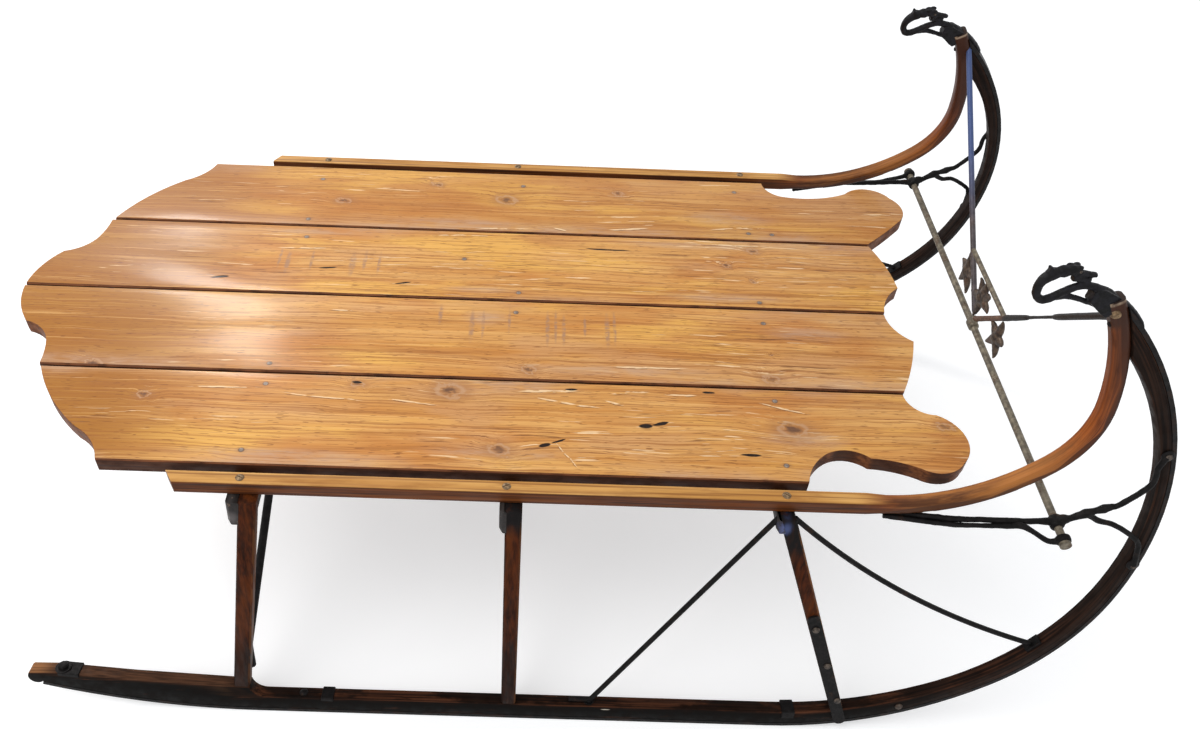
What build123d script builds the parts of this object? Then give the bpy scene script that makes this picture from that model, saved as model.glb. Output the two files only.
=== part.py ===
from build123d import *
import math
import os

# Horse drawn sleigh: a plank deck on three beams, carried by posts on two splayed wooden
# runners with steel shoes, and tied at the front by forged ironwork.
# Millimetres. +X is forward, +Z is up, and the right side is at -Y.
# The origin is on the ground, under the middle of the whole sleigh.

os.makedirs("parts", exist_ok=True)

# ---- Driving dimensions ----
LENGTH = 1709.0  # rear tip of the deck to the front of the runners
TRACK = 1015.0  # over the outer faces of the runners, at the ground
SPLAY = 11.2  # degrees that each runner leans inwards
DECK_TOP = 452.0
DECK_SETBACK = 192.5  # from the front of the runners back to the foremost deck lobe

BOARD_GAP = 3.0
BOARD_THICK = 24.0
BOARD_EDGE = 2.5  # chamfer along the long edges of the boards
BEAM_HEIGHT = 38.0
FRONT_BEAM_HEIGHT = 22.0
BEAM_EDGE = 5.0
RAIL_WIDTH = 22.0
RAIL_INSET = 25.2  # from the plane of the posts' outer faces in to the middle of the rail
RAIL_GAP = 14.0  # between the deck and the rail
RAIL_ROUND = 3.0

RUNNER_THICK = 22.0
RUNNER_TOP = 33.0  # top of the straight part above the sole, shoe included
SHOE_THICK = 6.0
SOLE_LIFT = 1.5  # the outer edge of the sole stands clear of the ground, the rest is worn level

POST_THICK = 22.0
POST_EDGE = 3.0
STAY_R = 4.0
BRACE_R = 6.5
ROD_R = 5.5
IRON_R = 4.5
LOOP_R = 3.8
V_BAR_R = 4.5

REAR_BEAM_AHEAD = 435.5  # of the stern
MIDDLE_BEAM_X = -45.0
FRONT_BEAM_BACK = 514.5  # from the bow
ROD_BACK = 139.5  # from the bow
ROD_DOWN = 17.0  # below the deck's top
TAIL_LENGTH = 413.5  # the sole rises from here back to the stern
POST_HEAD_AHEAD = 6.0  # of the rear and middle beams
FRONT_HEAD_AHEAD = 17.0
REAR_FOOT_BACK = 24.0  # behind the start of the tail's rise
FRONT_FOOT_AHEAD = 111.5  # of the start of the runner's bend

# Rows of (radius, turn in degrees), from the straight sole forwards and up.
BEND_OUTER = ((550.0, 37.2), (355.0, 40.5), (490.0, 62.5))
BEND_INNER = ((565.0, 25.0), (387.0, 26.6), (339.0, 24.1), (420.0, 73.5))
RAIL_BEND = ((293.0, 44.0), (131.0, 50.0), (360.0, 26.7))  # scaled to end at the runner's tip
TAIL_BEND = ((1200.0, 16.2),)

# ---- Places that follow from them ----
LEAN = math.radians(SPLAY)
STERN = -LENGTH / 2
BOW = LENGTH / 2
DECK_FRONT = BOW - DECK_SETBACK
BEAM_TOP = DECK_TOP - BOARD_THICK
BEAM_BOTTOM = BEAM_TOP - BEAM_HEIGHT
RAIL_HEIGHT = BOARD_THICK
RAIL_Z = DECK_TOP - RAIL_HEIGHT / 2


def slope_height(z):
    """Distance up the leaning outer face of a runner that reaches height z."""
    return (z - SOLE_LIFT) / math.cos(LEAN)


def face_y(z):
    """Half width over the runners' outer faces at height z."""
    return TRACK / 2 - (z - SOLE_LIFT) * math.tan(LEAN)


def side_place():
    """Frame of the right runner's outer face: x forward, y up the slope, z outwards."""
    outwards = (0, -math.cos(LEAN), math.sin(LEAN))
    face = Plane(origin=(0, -TRACK / 2, SOLE_LIFT), x_dir=(1, 0, 0), z_dir=outwards)
    return face.location


SIDE = side_place()
MIDDLE_OUT = -RUNNER_THICK / 2  # depth of the middle of a runner from its outer face


def arc_chain(start, heading, rows, inwards=0.0):
    """Tangent arcs from start: rows of (radius, turn), a left turn for a positive one.

    Inwards makes every arc concentric but that much nearer its centre.
    Returns the edges and the end point.
    """
    edges = []
    x, y = start
    angle = math.radians(heading)
    for radius, turn in rows:
        signed = math.copysign(radius - inwards, turn)
        centre_x = x - signed * math.sin(angle)
        centre_y = y + signed * math.cos(angle)
        points = []
        for part in (0.0, 0.5, 1.0):
            here = angle + math.radians(turn) * part
            points.append((centre_x + signed * math.sin(here), centre_y - signed * math.cos(here)))
        edges.append(ThreePointArc(*points))
        angle += math.radians(turn)
        x, y = points[2]
    return edges, (x, y)


def up_to(rows, heading):
    """Rows of a bend, cut short where it has turned by heading."""
    kept = []
    for radius, turn in rows:
        if heading <= 0:
            break
        kept.append((radius, min(turn, heading)))
        heading -= turn
    return kept


def bend_point(heading, depth, out=MIDDLE_OUT):
    """Point on the runner's bend where its sole has turned by heading, that deep inside it."""
    _, (x, y) = arc_chain((BEND_START, 0), 0, up_to(BEND_OUTER, heading))
    angle = math.radians(heading)
    return (x - depth * math.sin(angle), y + depth * math.cos(angle), out)


def side_point(x, z, out=MIDDLE_OUT):
    """Point in the runner's own frame for a height z, at a depth from the outer face."""
    return (x, (z - SOLE_LIFT - out * math.sin(LEAN)) / math.cos(LEAN), out)


def flat_face(edges):
    """Face inside a closed chain of edges in the XY plane."""
    return make_face(Wire(edges))


def arc_knots(knots):
    """Arcs through knots, of which every second one is the middle of an arc."""
    return [ThreePointArc(*knots[i:i + 3]) for i in range(0, len(knots) - 2, 2)]


def mixed_outline(rows):
    """Face inside rows of points: two points make a line, three an arc."""
    return flat_face([Line(*row) if len(row) == 2 else ThreePointArc(*row) for row in rows])


def rod(points, radius, bend=0.0):
    """Round bar through the points, with its corners bent to a radius."""
    if len(points) == 2:
        path = Line(*points)
    elif bend > 0:
        path = FilletPolyline(*points, radius=bend)
    else:
        path = Polyline(*points)
    return sweep((path ^ 0) * Circle(radius), path=path)


def trimmed(shape, *neighbours):
    """Shape with the room of its neighbours cut away, keeping the largest solid."""
    for neighbour in neighbours:
        shape = shape - neighbour
    solids = sorted(shape.solids(), key=lambda solid: solid.volume)
    return Part() + solids[-1]


def save(name, shape):
    """Write one node."""
    export_step(shape, "parts/" + name + ".step")


def save_pair(name, right):
    """Write a right side piece and its mirror image on the left."""
    save(name + "_right", right)
    save(name + "_left", mirror(right, about=Plane.XZ))


BEND_START = BOW - arc_chain((0, 0), 0, up_to(BEND_OUTER, 90))[1][0]
RUNNER_TIP = arc_chain((BEND_START, 0), 0, BEND_OUTER)[1]
TIP_Z = SOLE_LIFT + RUNNER_TIP[1] * math.cos(LEAN)
TAIL_START = STERN + TAIL_LENGTH

# Rows of (name, x, width along X, height).
BEAMS = (
    ("rear", STERN + REAR_BEAM_AHEAD, 38.0, BEAM_HEIGHT),
    ("middle", MIDDLE_BEAM_X, 28.0, BEAM_HEIGHT),
    ("front", BOW - FRONT_BEAM_BACK, 24.0, FRONT_BEAM_HEIGHT),
)
BEAM_X = {name: x for name, x, width, height in BEAMS}
MIDDLE_POST_X = MIDDLE_BEAM_X + POST_HEAD_AHEAD
REAR_FOOT_X = TAIL_START - REAR_FOOT_BACK

# Rows of (name, x under the beams, x on the runner, width at the top, width at the foot).
POSTS = (
    ("rear", BEAM_X["rear"] + POST_HEAD_AHEAD, REAR_FOOT_X, 26.0, 25.0),
    ("middle", MIDDLE_POST_X, MIDDLE_POST_X, 24.0, 23.0),
    ("front", BEAM_X["front"] + FRONT_HEAD_AHEAD, BEND_START + FRONT_FOOT_AHEAD, 24.0, 21.0),
)

# ---- Deck ----
# Each end is a run of arcs: rows of (setback from the foremost or rearmost tip, part of the
# board's width out from its inner edge), and every second row is the middle of an arc.
LEFT_OUTER_FRONT = (
    (254, 1.0), (245, 0.85), (219, 0.76), (157, 0.75), (99, 0.85), (50, 0.945),
    (16, 0.80), (0, 0.60), (18, 0.38), (60, 0.14), (88, 0.0),
)
LEFT_INNER_FRONT = ((89, 1.0), (70, 0.68), (62, 0.36), (84, 0.23), (99, 0.0))
RIGHT_INNER_FRONT = ((110, 1.0), (83, 0.66), (67, 0.36), (92, 0.21), (101, 0.0))
RIGHT_OUTER_FRONT = (
    (287, 1.0), (274, 0.82), (252, 0.70), (219, 0.66), (190, 0.735), (155, 0.76),
    (121, 0.825), (87, 0.865), (55, 0.75), (38, 0.50), (72, 0.235), (101, 0.17), (113, 0.0),
)
OUTER_REAR = ((90, 0.0), (125, 0.34), (184, 0.68), (216, 0.84), (229, 1.0))
INNER_REAR = ((0, 0.0), (9, 0.25), (33, 0.48), (66, 0.59), (79, 0.71), (85, 0.85), (87, 1.0))

# Rows of (name, side, place counted out from the middle, front end, rear end).
BOARDS = (
    ("deck_board_left_outer", 1, 1, LEFT_OUTER_FRONT, OUTER_REAR),
    ("deck_board_left_inner", 1, 0, LEFT_INNER_FRONT, INNER_REAR),
    ("deck_board_right_inner", -1, 0, RIGHT_INNER_FRONT, INNER_REAR),
    ("deck_board_right_outer", -1, 1, RIGHT_OUTER_FRONT, OUTER_REAR),
)
RAIL_Y = face_y(RAIL_Z) - RAIL_INSET
HALF_DECK = RAIL_Y - RAIL_WIDTH / 2 - RAIL_GAP
BOARD_PITCH = (HALF_DECK + BOARD_GAP / 2) / 2
BOARD_WIDTH = BOARD_PITCH - BOARD_GAP


def deck_board(side, place, front, rear):
    """One deck board with its sawn ends and softened long edges."""
    inner = BOARD_GAP / 2 + place * BOARD_PITCH
    front_knots = [(DECK_FRONT - back, side * (inner + part * BOARD_WIDTH)) for back, part in front]
    rear_knots = [(STERN + ahead, side * (inner + part * BOARD_WIDTH)) for ahead, part in rear]
    edges = arc_knots(front_knots)
    edges.append(Line(front_knots[-1], rear_knots[0]))
    edges += arc_knots(rear_knots)
    edges.append(Line(rear_knots[-1], front_knots[0]))
    board = Pos(0, 0, BEAM_TOP) * extrude(flat_face(edges), BOARD_THICK)
    top = board.faces().sort_by(Axis.Z)[-1]
    return chamfer(top.edges().filter_by(Axis.X), BOARD_EDGE)


for name, side, place, front, rear in BOARDS:
    save(name, deck_board(side, place, front, rear))


# ---- Rails ----
RAIL_OVERHANG = 98.0  # the rail reaches this far behind the middle of the rear beam
RAIL_REAR_SLANT = 14.0  # the rear end is sawn this much out of square
RAIL_BLEND = 29.0  # length over which the square rail rounds off
RAIL_BEND_SIZE = 22.0
RAIL_BEND_ROUND = 6.5
RAIL_TIP_BACK = 3.5  # the rail's end is this far behind the runner's tip, and this far below
RAIL_TIP_DOWN = 6.0

RAIL_END_X = RUNNER_TIP[0] - RAIL_TIP_BACK
RAIL_END_Z = TIP_Z - RAIL_TIP_DOWN
RAIL_END_Y = face_y(RAIL_END_Z) - RUNNER_THICK / 2 / math.cos(LEAN)
RAIL_RISE = math.hypot(RAIL_END_Z - RAIL_Z, RAIL_Y - RAIL_END_Y)
RAIL_LEAN = math.atan2(RAIL_Y - RAIL_END_Y, RAIL_END_Z - RAIL_Z)
bend_reach, bend_rise = arc_chain((0, 0), 0, RAIL_BEND)[1]
RAIL_ARCS = [(radius * RAIL_RISE / bend_rise, turn) for radius, turn in RAIL_BEND]
RAIL_BEND_START = RAIL_END_X - bend_reach * RAIL_RISE / bend_rise
RAIL_SQUARE_END = RAIL_BEND_START - RAIL_BLEND
RAIL_PLANE = Plane(
    origin=(0, -RAIL_Y, RAIL_Z),
    x_dir=(1, 0, 0),
    z_dir=(0, -math.cos(RAIL_LEAN), math.sin(RAIL_LEAN)),
)


def rail():
    """Right side rail: square along the deck, then rounded and bent up to the runner's tip."""
    rear_x = BEAM_X["rear"] - RAIL_OVERHANG - RAIL_REAR_SLANT / 2
    half = RAIL_WIDTH / 2
    plan = Polyline(
        (rear_x, -RAIL_Y + half),
        (rear_x + RAIL_REAR_SLANT, -RAIL_Y - half),
        (RAIL_SQUARE_END, -RAIL_Y - half),
        (RAIL_SQUARE_END, -RAIL_Y + half),
        close=True,
    )
    square = Pos(0, 0, RAIL_Z - RAIL_HEIGHT / 2) * extrude(make_face(plan), RAIL_HEIGHT)
    square = fillet(square.edges().filter_by(Axis.X), RAIL_ROUND)

    edges, _ = arc_chain((RAIL_BEND_START, 0), 0, RAIL_ARCS)
    path = RAIL_PLANE.location * Wire(edges)
    section = RectangleRounded(RAIL_BEND_SIZE, RAIL_BEND_SIZE, RAIL_BEND_ROUND)
    bend_start = Plane(
        origin=(RAIL_BEND_START, -RAIL_Y, RAIL_Z), x_dir=RAIL_PLANE.z_dir, z_dir=(1, 0, 0)
    )
    bend = sweep(bend_start.location * section, path=path)

    square_end = Plane(origin=(RAIL_SQUARE_END, -RAIL_Y, RAIL_Z), x_dir=(0, -1, 0), z_dir=(1, 0, 0))
    square_section = RectangleRounded(RAIL_WIDTH, RAIL_HEIGHT, RAIL_ROUND)
    blend = loft([square_end.location * square_section, bend_start.location * section], ruled=True)
    return Part() + [square, blend, bend]


right_rail = rail()
save_pair("rail", right_rail)

# ---- Runners and shoes ----
INNER_BEND_START = BEND_START + 2.7
# Rows of (distance behind TAIL_START, height), from the tail's tip forwards along its top.
TAIL_NOSE = (355.0, 61.0)
TAIL_TOP = ((350.0, 74.0), (307.0, 75.0), (192.0, 64.0), (37.0, 55.0))
STEP_AHEAD = 16.0  # of the rear post's foot: the top drops here
STEP_LENGTH = 24.0
STEP_ROUND = 7.0
WEDGE_DEPTH = 70.0  # more than the runner's depth under the rail's tip


def runner_outline():
    """Outline of the wooden runner above its shoe."""
    lift = SHOE_THICK
    tail_rows = [(radius, -turn) for radius, turn in TAIL_BEND]
    rear_edges, rear_end = arc_chain((TAIL_START, lift), 180, tail_rows, lift)
    outer_edges, outer_end = arc_chain((BEND_START, lift), 0, BEND_OUTER, lift)
    inner_edges, inner_end = arc_chain((INNER_BEND_START, RUNNER_TOP), 0, BEND_INNER)
    nose = (TAIL_START - TAIL_NOSE[0], TAIL_NOSE[1])
    top = [(TAIL_START - back, height) for back, height in TAIL_TOP]
    step_x = REAR_FOOT_X + STEP_AHEAD
    top.append((step_x, TAIL_TOP[-1][1]))
    step_foot = (step_x + STEP_LENGTH, RUNNER_TOP)
    step_middle = (step_x + STEP_ROUND, RUNNER_TOP + STEP_ROUND)
    edges = [Line((TAIL_START, lift), (BEND_START, lift))]
    edges += outer_edges
    edges.append(Line(outer_end, inner_end))
    edges += inner_edges
    edges.append(Line((INNER_BEND_START, RUNNER_TOP), step_foot))
    edges.append(ThreePointArc(step_foot, step_middle, top[-1]))
    edges += [Line(top[i], top[i + 1]) for i in range(len(top) - 1)]
    edges.append(ThreePointArc(top[0], nose, rear_end))
    edges += rear_edges
    return edges


def shoe_outline():
    """Outline of the steel strip under the runner, from tail to tip."""
    tail_rows = [(radius, -turn) for radius, turn in TAIL_BEND]
    low_rear, low_rear_end = arc_chain((TAIL_START, 0), 180, tail_rows)
    top_rear, top_rear_end = arc_chain((TAIL_START, SHOE_THICK), 180, tail_rows, SHOE_THICK)
    low_front, low_front_end = arc_chain((BEND_START, 0), 0, BEND_OUTER)
    top_front, top_front_end = arc_chain((BEND_START, SHOE_THICK), 0, BEND_OUTER, SHOE_THICK)
    edges = [Line((TAIL_START, 0), (BEND_START, 0))]
    edges += low_front
    edges.append(Line(low_front_end, top_front_end))
    edges += top_front
    edges.append(Line((BEND_START, SHOE_THICK), (TAIL_START, SHOE_THICK)))
    edges += top_rear
    edges.append(Line(top_rear_end, low_rear_end))
    edges += low_rear
    return edges


def rail_tip_room():
    """Everything on the inside of the bent rail's outer surface, across the runner."""
    below = -RAIL_BEND_SIZE / 2
    outer = [(radius - below, turn) for radius, turn in RAIL_ARCS]
    inner = [(radius - WEDGE_DEPTH, turn) for radius, turn in RAIL_ARCS]
    low_edges, low_end = arc_chain((RAIL_BEND_START, below), 0, outer)
    top_edges, top_end = arc_chain((RAIL_BEND_START, WEDGE_DEPTH), 0, inner)
    edges = low_edges + [Line(low_end, top_end)] + top_edges
    edges.append(Line((RAIL_BEND_START, WEDGE_DEPTH), (RAIL_BEND_START, below)))
    room = extrude(flat_face(edges), 2 * RUNNER_THICK, both=True)
    return RAIL_PLANE.location * room


def below_ground():
    """Block under the ground, which levels the soles."""
    depth = RUNNER_TOP
    return Pos(0, 0, -depth / 2) * Box(2 * LENGTH, 2 * TRACK, depth)


tip_room = rail_tip_room()
runner_plate = SIDE * extrude(flat_face(runner_outline()), -RUNNER_THICK)
right_runner = trimmed(runner_plate, tip_room)
save_pair("runner", right_runner)

shoe_plate = SIDE * extrude(flat_face(shoe_outline()), -RUNNER_THICK)
right_shoe = trimmed(shoe_plate, tip_room, below_ground())
save_pair("shoe", right_shoe)


# ---- Posts and beams ----
def post(top_x, foot_x, top_width, foot_width):
    """Post as a tapered plate from inside the runner to above the beam."""
    top = slope_height(BEAM_TOP) + POST_THICK
    beam_line = slope_height(BEAM_BOTTOM)
    slant = (top_x - foot_x) / (beam_line - RUNNER_TOP)
    high_x = top_x + slant * (top - beam_line)
    low_x = foot_x - slant * (RUNNER_TOP - SHOE_THICK)
    plan = Polyline(
        (high_x - top_width / 2, top),
        (high_x + top_width / 2, top),
        (low_x + foot_width / 2, SHOE_THICK),
        (low_x - foot_width / 2, SHOE_THICK),
        close=True,
    )
    body = extrude(make_face(plan), -POST_THICK)
    sides = [edge for edge in body.edges() if edge.length > top - beam_line]
    return SIDE * chamfer(sides, POST_EDGE)


def beam(x, width, height):
    """Cross beam under the deck and rails, its ends in line with the posts' outer faces."""
    bottom = BEAM_TOP - height
    front = Polyline(
        (-face_y(bottom), bottom),
        (face_y(bottom), bottom),
        (face_y(BEAM_TOP), BEAM_TOP),
        (-face_y(BEAM_TOP), BEAM_TOP),
        close=True,
    )
    bar = extrude(Plane.YZ.offset(x) * make_face(front), width / 2, both=True)
    above = bar.faces().sort_by(Axis.Z)[-1].edges()
    across = bar.edges().filter_by(Axis.X)
    softened = [edge for edge in bar.edges() if edge not in above and edge not in across]
    return chamfer(softened, BEAM_EDGE)


right_posts = {}
beams = {name: beam(x, width, height) for name, x, width, height in BEAMS}
above = Pos(0, 0, BEAM_TOP + BEAM_HEIGHT) * Box(LENGTH, TRACK, 2 * BEAM_HEIGHT)
for name, top_x, foot_x, top_width, foot_width in POSTS:
    right_posts[name] = trimmed(post(top_x, foot_x, top_width, foot_width), above, right_runner)
    save_pair("post_" + name, right_posts[name])
    left_post = mirror(right_posts[name], about=Plane.XZ)
    beams[name] = trimmed(beams[name], right_posts[name], left_post)
    save("beam_" + name, beams[name])

# ---- Inner braces ----
# Each runs from the inside of a post's foot up to the underside of its beam.
REAR_BRACE_AHEAD = (16.0, 12.0)  # of the post's foot, and of the beam
# Rows of (post, x at the foot, x at the beam).
BRACES = (
    ("rear", REAR_FOOT_X + REAR_BRACE_AHEAD[0], BEAM_X["rear"] + REAR_BRACE_AHEAD[1]),
    ("middle", MIDDLE_POST_X, MIDDLE_BEAM_X),
)
BRACE_FOOT_Z = 70.0
BRACE_TANG = 45.0
BRACE_TOP_Y = 222.0
BRACE_BEND = 18.0


def brace(foot_x, top_x):
    """Round iron brace with a tang on the post and a foot under the beam."""
    beside_post = POST_THICK / math.cos(LEAN) + BRACE_R
    low_z = BRACE_FOOT_Z
    high_z = BRACE_FOOT_Z + BRACE_TANG
    top_z = BEAM_BOTTOM - BRACE_R
    points = [
        (foot_x, -face_y(low_z) + beside_post, low_z),
        (foot_x, -face_y(high_z) + beside_post, high_z),
        (top_x, -BRACE_TOP_Y, top_z),
        (top_x, -BRACE_TOP_Y + BRACE_TANG, top_z),
    ]
    return rod(points, BRACE_R, BRACE_BEND)


for name, foot_x, top_x in BRACES:
    bar = brace(foot_x, top_x)
    save_pair("brace_" + name, trimmed(bar, right_posts[name], right_runner, beams[name]))

# ---- Side stays, in the plane of the runner ----
STAY_TOP_BACK = 9.0  # the rear stay starts this far behind the middle of the front beam
STAY_TOP_AHEAD = 14.0  # and the front stay this far ahead of it
STAY_TOP_Z = BEAM_TOP - STAY_R
REAR_STAY_REACH = 248.0  # from the front beam back to the heel on the runner
FRONT_STAY_SAG = (0.25, 19.0)  # part of its length, and how far it bows there
FRONT_STAY_FOOT = (53.0, 24.0)  # heading and depth on the runner's bend
STAY_FOOT_LENGTH = 34.0
STAY_BEND = 12.0
LUG_SIZE = (26.0, 12.0, 16.0)


def rear_stay():
    """Round stay from the front post's head back to a foot bolted on the runner."""
    top = side_point(BEAM_X["front"] - STAY_TOP_BACK, STAY_TOP_Z)
    foot_height = RUNNER_TOP + STAY_R
    heel = (BEAM_X["front"] - REAR_STAY_REACH, foot_height, MIDDLE_OUT)
    toe = (heel[0] - STAY_FOOT_LENGTH, foot_height, MIDDLE_OUT)
    return SIDE * rod([top, heel, toe], STAY_R, STAY_BEND)


def front_stay():
    """Gently bowed round stay from the front post's head to a lug on the runner's bend."""
    top = Vector(*side_point(BEAM_X["front"] + STAY_TOP_AHEAD, STAY_TOP_Z))
    foot = Vector(*bend_point(*FRONT_STAY_FOOT))
    part, bow = FRONT_STAY_SAG
    along = foot - top
    across_stay = Vector(along.Y, -along.X, 0).normalized()
    middle = top + along * part + across_stay * bow
    path = ThreePointArc(top, middle, foot)
    bar = sweep((path ^ 0) * Circle(STAY_R), path=path)
    lug = Pos(*foot) * Rot(0, 0, FRONT_STAY_FOOT[0]) * Box(*LUG_SIZE)
    return SIDE * (bar + lug)


right_front_post = right_posts["front"]
stay_neighbours = (beams["front"], right_front_post, right_rail, right_runner)
save_pair("rear_stay", trimmed(rear_stay(), *stay_neighbours))
save_pair("front_stay", trimmed(front_stay(), *stay_neighbours))

# ---- Iron strap on the lower half of the front post ----
STRAP_THICK = 4.0
STRAP_WIDTH = 19.0
STRAP_TOP = 245.0  # height up the slope
STRAP_BOTTOM = 24.0


def front_strap():
    """Flat iron strap bolted to the front post and lapped onto the runner."""
    _, top_x, foot_x, _, _ = POSTS[2]
    slant = (top_x - foot_x) / (slope_height(BEAM_BOTTOM) - RUNNER_TOP)
    high = (foot_x + slant * (STRAP_TOP - RUNNER_TOP), STRAP_TOP)
    low = (foot_x + slant * (STRAP_BOTTOM - RUNNER_TOP), STRAP_BOTTOM)
    plate = SlotCenterToCenter(math.dist(high, low), STRAP_WIDTH)
    angle = math.degrees(math.atan2(high[1] - low[1], high[0] - low[0]))
    middle = Pos((high[0] + low[0]) / 2, (high[1] + low[1]) / 2)
    return SIDE * extrude(middle * Rot(0, 0, angle) * plate, STRAP_THICK)


save_pair("front_strap", front_strap())

# ---- Cross rod ----
IRON_IN = 7.7  # inside the plane of the runners' outer faces
EYE_OUT = 30.0  # outside the draft iron
ROD_X = BOW - ROD_BACK
ROD_Z = DECK_TOP - ROD_DOWN
IRON_Y = face_y(ROD_Z) - IRON_IN  # the draft irons cross the rod here
ROD_EYE_Y = IRON_Y + EYE_OUT
ROD_EYE_R = 10.0
ROD_EYE_WIDTH = 12.0
ROD_BOSS_R = 9.5
ROD_BOSS_WIDTH = 20.0
ROD_HEAD_R = 8.0
ROD_HEAD_WIDTH = 5.0


def across(y, radius, width):
    """Cylinder along Y on the cross rod's axis."""
    return Pos(ROD_X, y, ROD_Z) * Rot(90, 0, 0) * Cylinder(radius, width)


def cross_rod():
    """Straight rod across the front, with a head outside each draft iron's eye."""
    half = ROD_EYE_Y + ROD_EYE_WIDTH / 2
    bar = across(0, ROD_R, 2 * half)
    for side in (1, -1):
        bar = bar + across(side * (half + ROD_HEAD_WIDTH / 2), ROD_HEAD_R, ROD_HEAD_WIDTH)
    return bar


front_rod = cross_rod()
save("cross_rod", front_rod)

# ---- Draft irons ----
# Stations of (x ahead of the rod, out from IRON_Y, height above the rod).
IRON_RUN = ((-148.0, -4.0, -4.0), (-67.0, -1.0, -1.0), (0.0, 0.0, 3.0), (34.0, 0.0, 22.0))
IRON_FORK = (54.0, -1.0, 32.0)
IRON_RISE = (72.0, -1.0, 42.0)
IRON_FALL = ((56.0, 3.0, 10.0), (76.0, 8.0, 8.0))
LOOP_RUN = (
    (-148.0, 3.0, -8.0), (-68.0, 6.0, -4.0), (-51.0, 7.0, -1.0), (-36.0, 16.0, -2.0), (-20.0, 27.0, -6.0),
)
# Stations on the runner's face: rows of (heading, depth).
UPPER_BRANCH = ((102.5, 30.0), (106.0, 24.0), (108.0, 12.0))
LOWER_BRANCH = ((91.0, 33.0), (89.0, 19.0), (84.5, 10.0))
IRON_ROOT_BACK = 3.0  # the root is this far behind the start of the rail's bend
IRON_ROOT_OUT = -1.0  # and this far outside the middle of the rail
LOOP_ROOT_OUT = 8.0
IRON_BEND = 9.0
PAD_R = 9.0
PAD_THICK = 4.0
WELD_R = 6.8
WELD_LENGTH = 13.0


def by_rod(station):
    """Station on the right side, counted from where the draft iron crosses the rod."""
    ahead, out, above = station
    return Vector(ROD_X + ahead, -IRON_Y - out, ROD_Z + above)


def on_face(station):
    """Station on the runner's outer face."""
    heading, depth = station
    return (SIDE * Pos(*bend_point(heading, depth, IRON_R - 1))).position


def under_rail(out, radius):
    """Root of a bar of that radius, bolted under the rail where its bend starts."""
    x = RAIL_BEND_START - IRON_ROOT_BACK
    return Vector(x, -RAIL_Y - out, RAIL_Z - RAIL_HEIGHT / 2 - radius)


def iron_pad(station):
    """Flattened end of a branch, bolted to the runner's outer face."""
    heading, depth = station
    return SIDE * Pos(*bend_point(heading, depth, PAD_THICK / 2)) * Cylinder(PAD_R, PAD_THICK)


def weld(middle, ahead):
    """Thick forge weld around a bar, in line with the point ahead."""
    half = (ahead - middle).normalized() * (WELD_LENGTH / 2)
    return rod([middle - half, middle + half], WELD_R)


def draft_iron():
    """Forged iron from under the rail past the cross rod, forked onto the runner."""
    run = [by_rod(station) for station in IRON_RUN]
    fork = by_rod(IRON_FORK)
    upper = [fork, by_rod(IRON_RISE)] + [on_face(station) for station in UPPER_BRANCH]
    fall = [by_rod(station) for station in IRON_FALL]
    lower = fall + [on_face(station) for station in LOWER_BRANCH]
    iron = rod([under_rail(IRON_ROOT_OUT, IRON_R)] + run + upper, IRON_R, IRON_BEND)
    iron = iron + rod([run[-1]] + lower, IRON_R - 0.5, IRON_BEND)
    iron = iron + weld(run[-1], fork) + weld(fork, upper[1])
    iron = iron + iron_pad(UPPER_BRANCH[-1]) + iron_pad(LOWER_BRANCH[-1])
    return iron + across(-IRON_Y, ROD_BOSS_R, ROD_BOSS_WIDTH)


def draft_loop():
    """Second bar beside the draft iron, bowed out to an eye on the cross rod's end."""
    run = [by_rod(station) for station in LOOP_RUN]
    end = Vector(ROD_X, -ROD_EYE_Y, ROD_Z)
    bar = rod([under_rail(LOOP_ROOT_OUT, LOOP_R)] + run + [end], LOOP_R, IRON_BEND)
    return bar + across(-ROD_EYE_Y, ROD_EYE_R, ROD_EYE_WIDTH)


right_iron = trimmed(draft_iron(), front_rod, right_runner, right_shoe, right_rail)
save_pair("draft_iron", right_iron)
save_pair("draft_loop", trimmed(draft_loop(), front_rod, right_iron, right_rail))

# ---- V bars, their short tie and the leaf castings ----
V_TOP_AHEAD = 20.5  # of the runner's tip
V_TOP_DOWN = 26.0  # below the runner's tip
V_TOP_IN = 7.5  # inside the runner's outer face
V_FOOT_UP = 12.0  # above the cross rod
V_TIE_UP = 78.0  # above the V's foot
V_TIE_R = 4.0
KNUCKLE_R = 9.5
KNUCKLE_WIDTH = 30.0
V_TOP_X = RUNNER_TIP[0] + V_TOP_AHEAD
V_TOP_Z = TIP_Z - V_TOP_DOWN
V_TOP_Y = face_y(V_TOP_Z) - V_TOP_IN
V_FOOT_Z = ROD_Z + V_FOOT_UP
V_ANGLE = math.atan2(ROD_X - V_TOP_X, V_TOP_Z - V_FOOT_Z)
V_PLACE = Plane(
    origin=(ROD_X, 0, V_FOOT_Z),
    x_dir=(0, 1, 0),
    z_dir=(math.cos(V_ANGLE), 0, math.sin(V_ANGLE)),
).location
V_SLOPE = (V_TOP_Z - V_FOOT_Z) / math.cos(V_ANGLE) / V_TOP_Y
V_GAP = 2 * V_BAR_R  # each bar ends this far from the middle

# Rows of (direction in degrees, reach) of each leaf's points, anticlockwise from its stalk.
SIDE_LEAF = ((97.0, 38.0), (166.0, 28.0), (242.0, 34.0), (310.0, 38.0), (380.0, 32.0))
MIDDLE_LEAF = (
    (100.0, 39.0), (140.0, 38.0), (181.0, 39.0), (276.0, 42.0), (338.0, 41.0), (412.0, 33.0),
)
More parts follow.
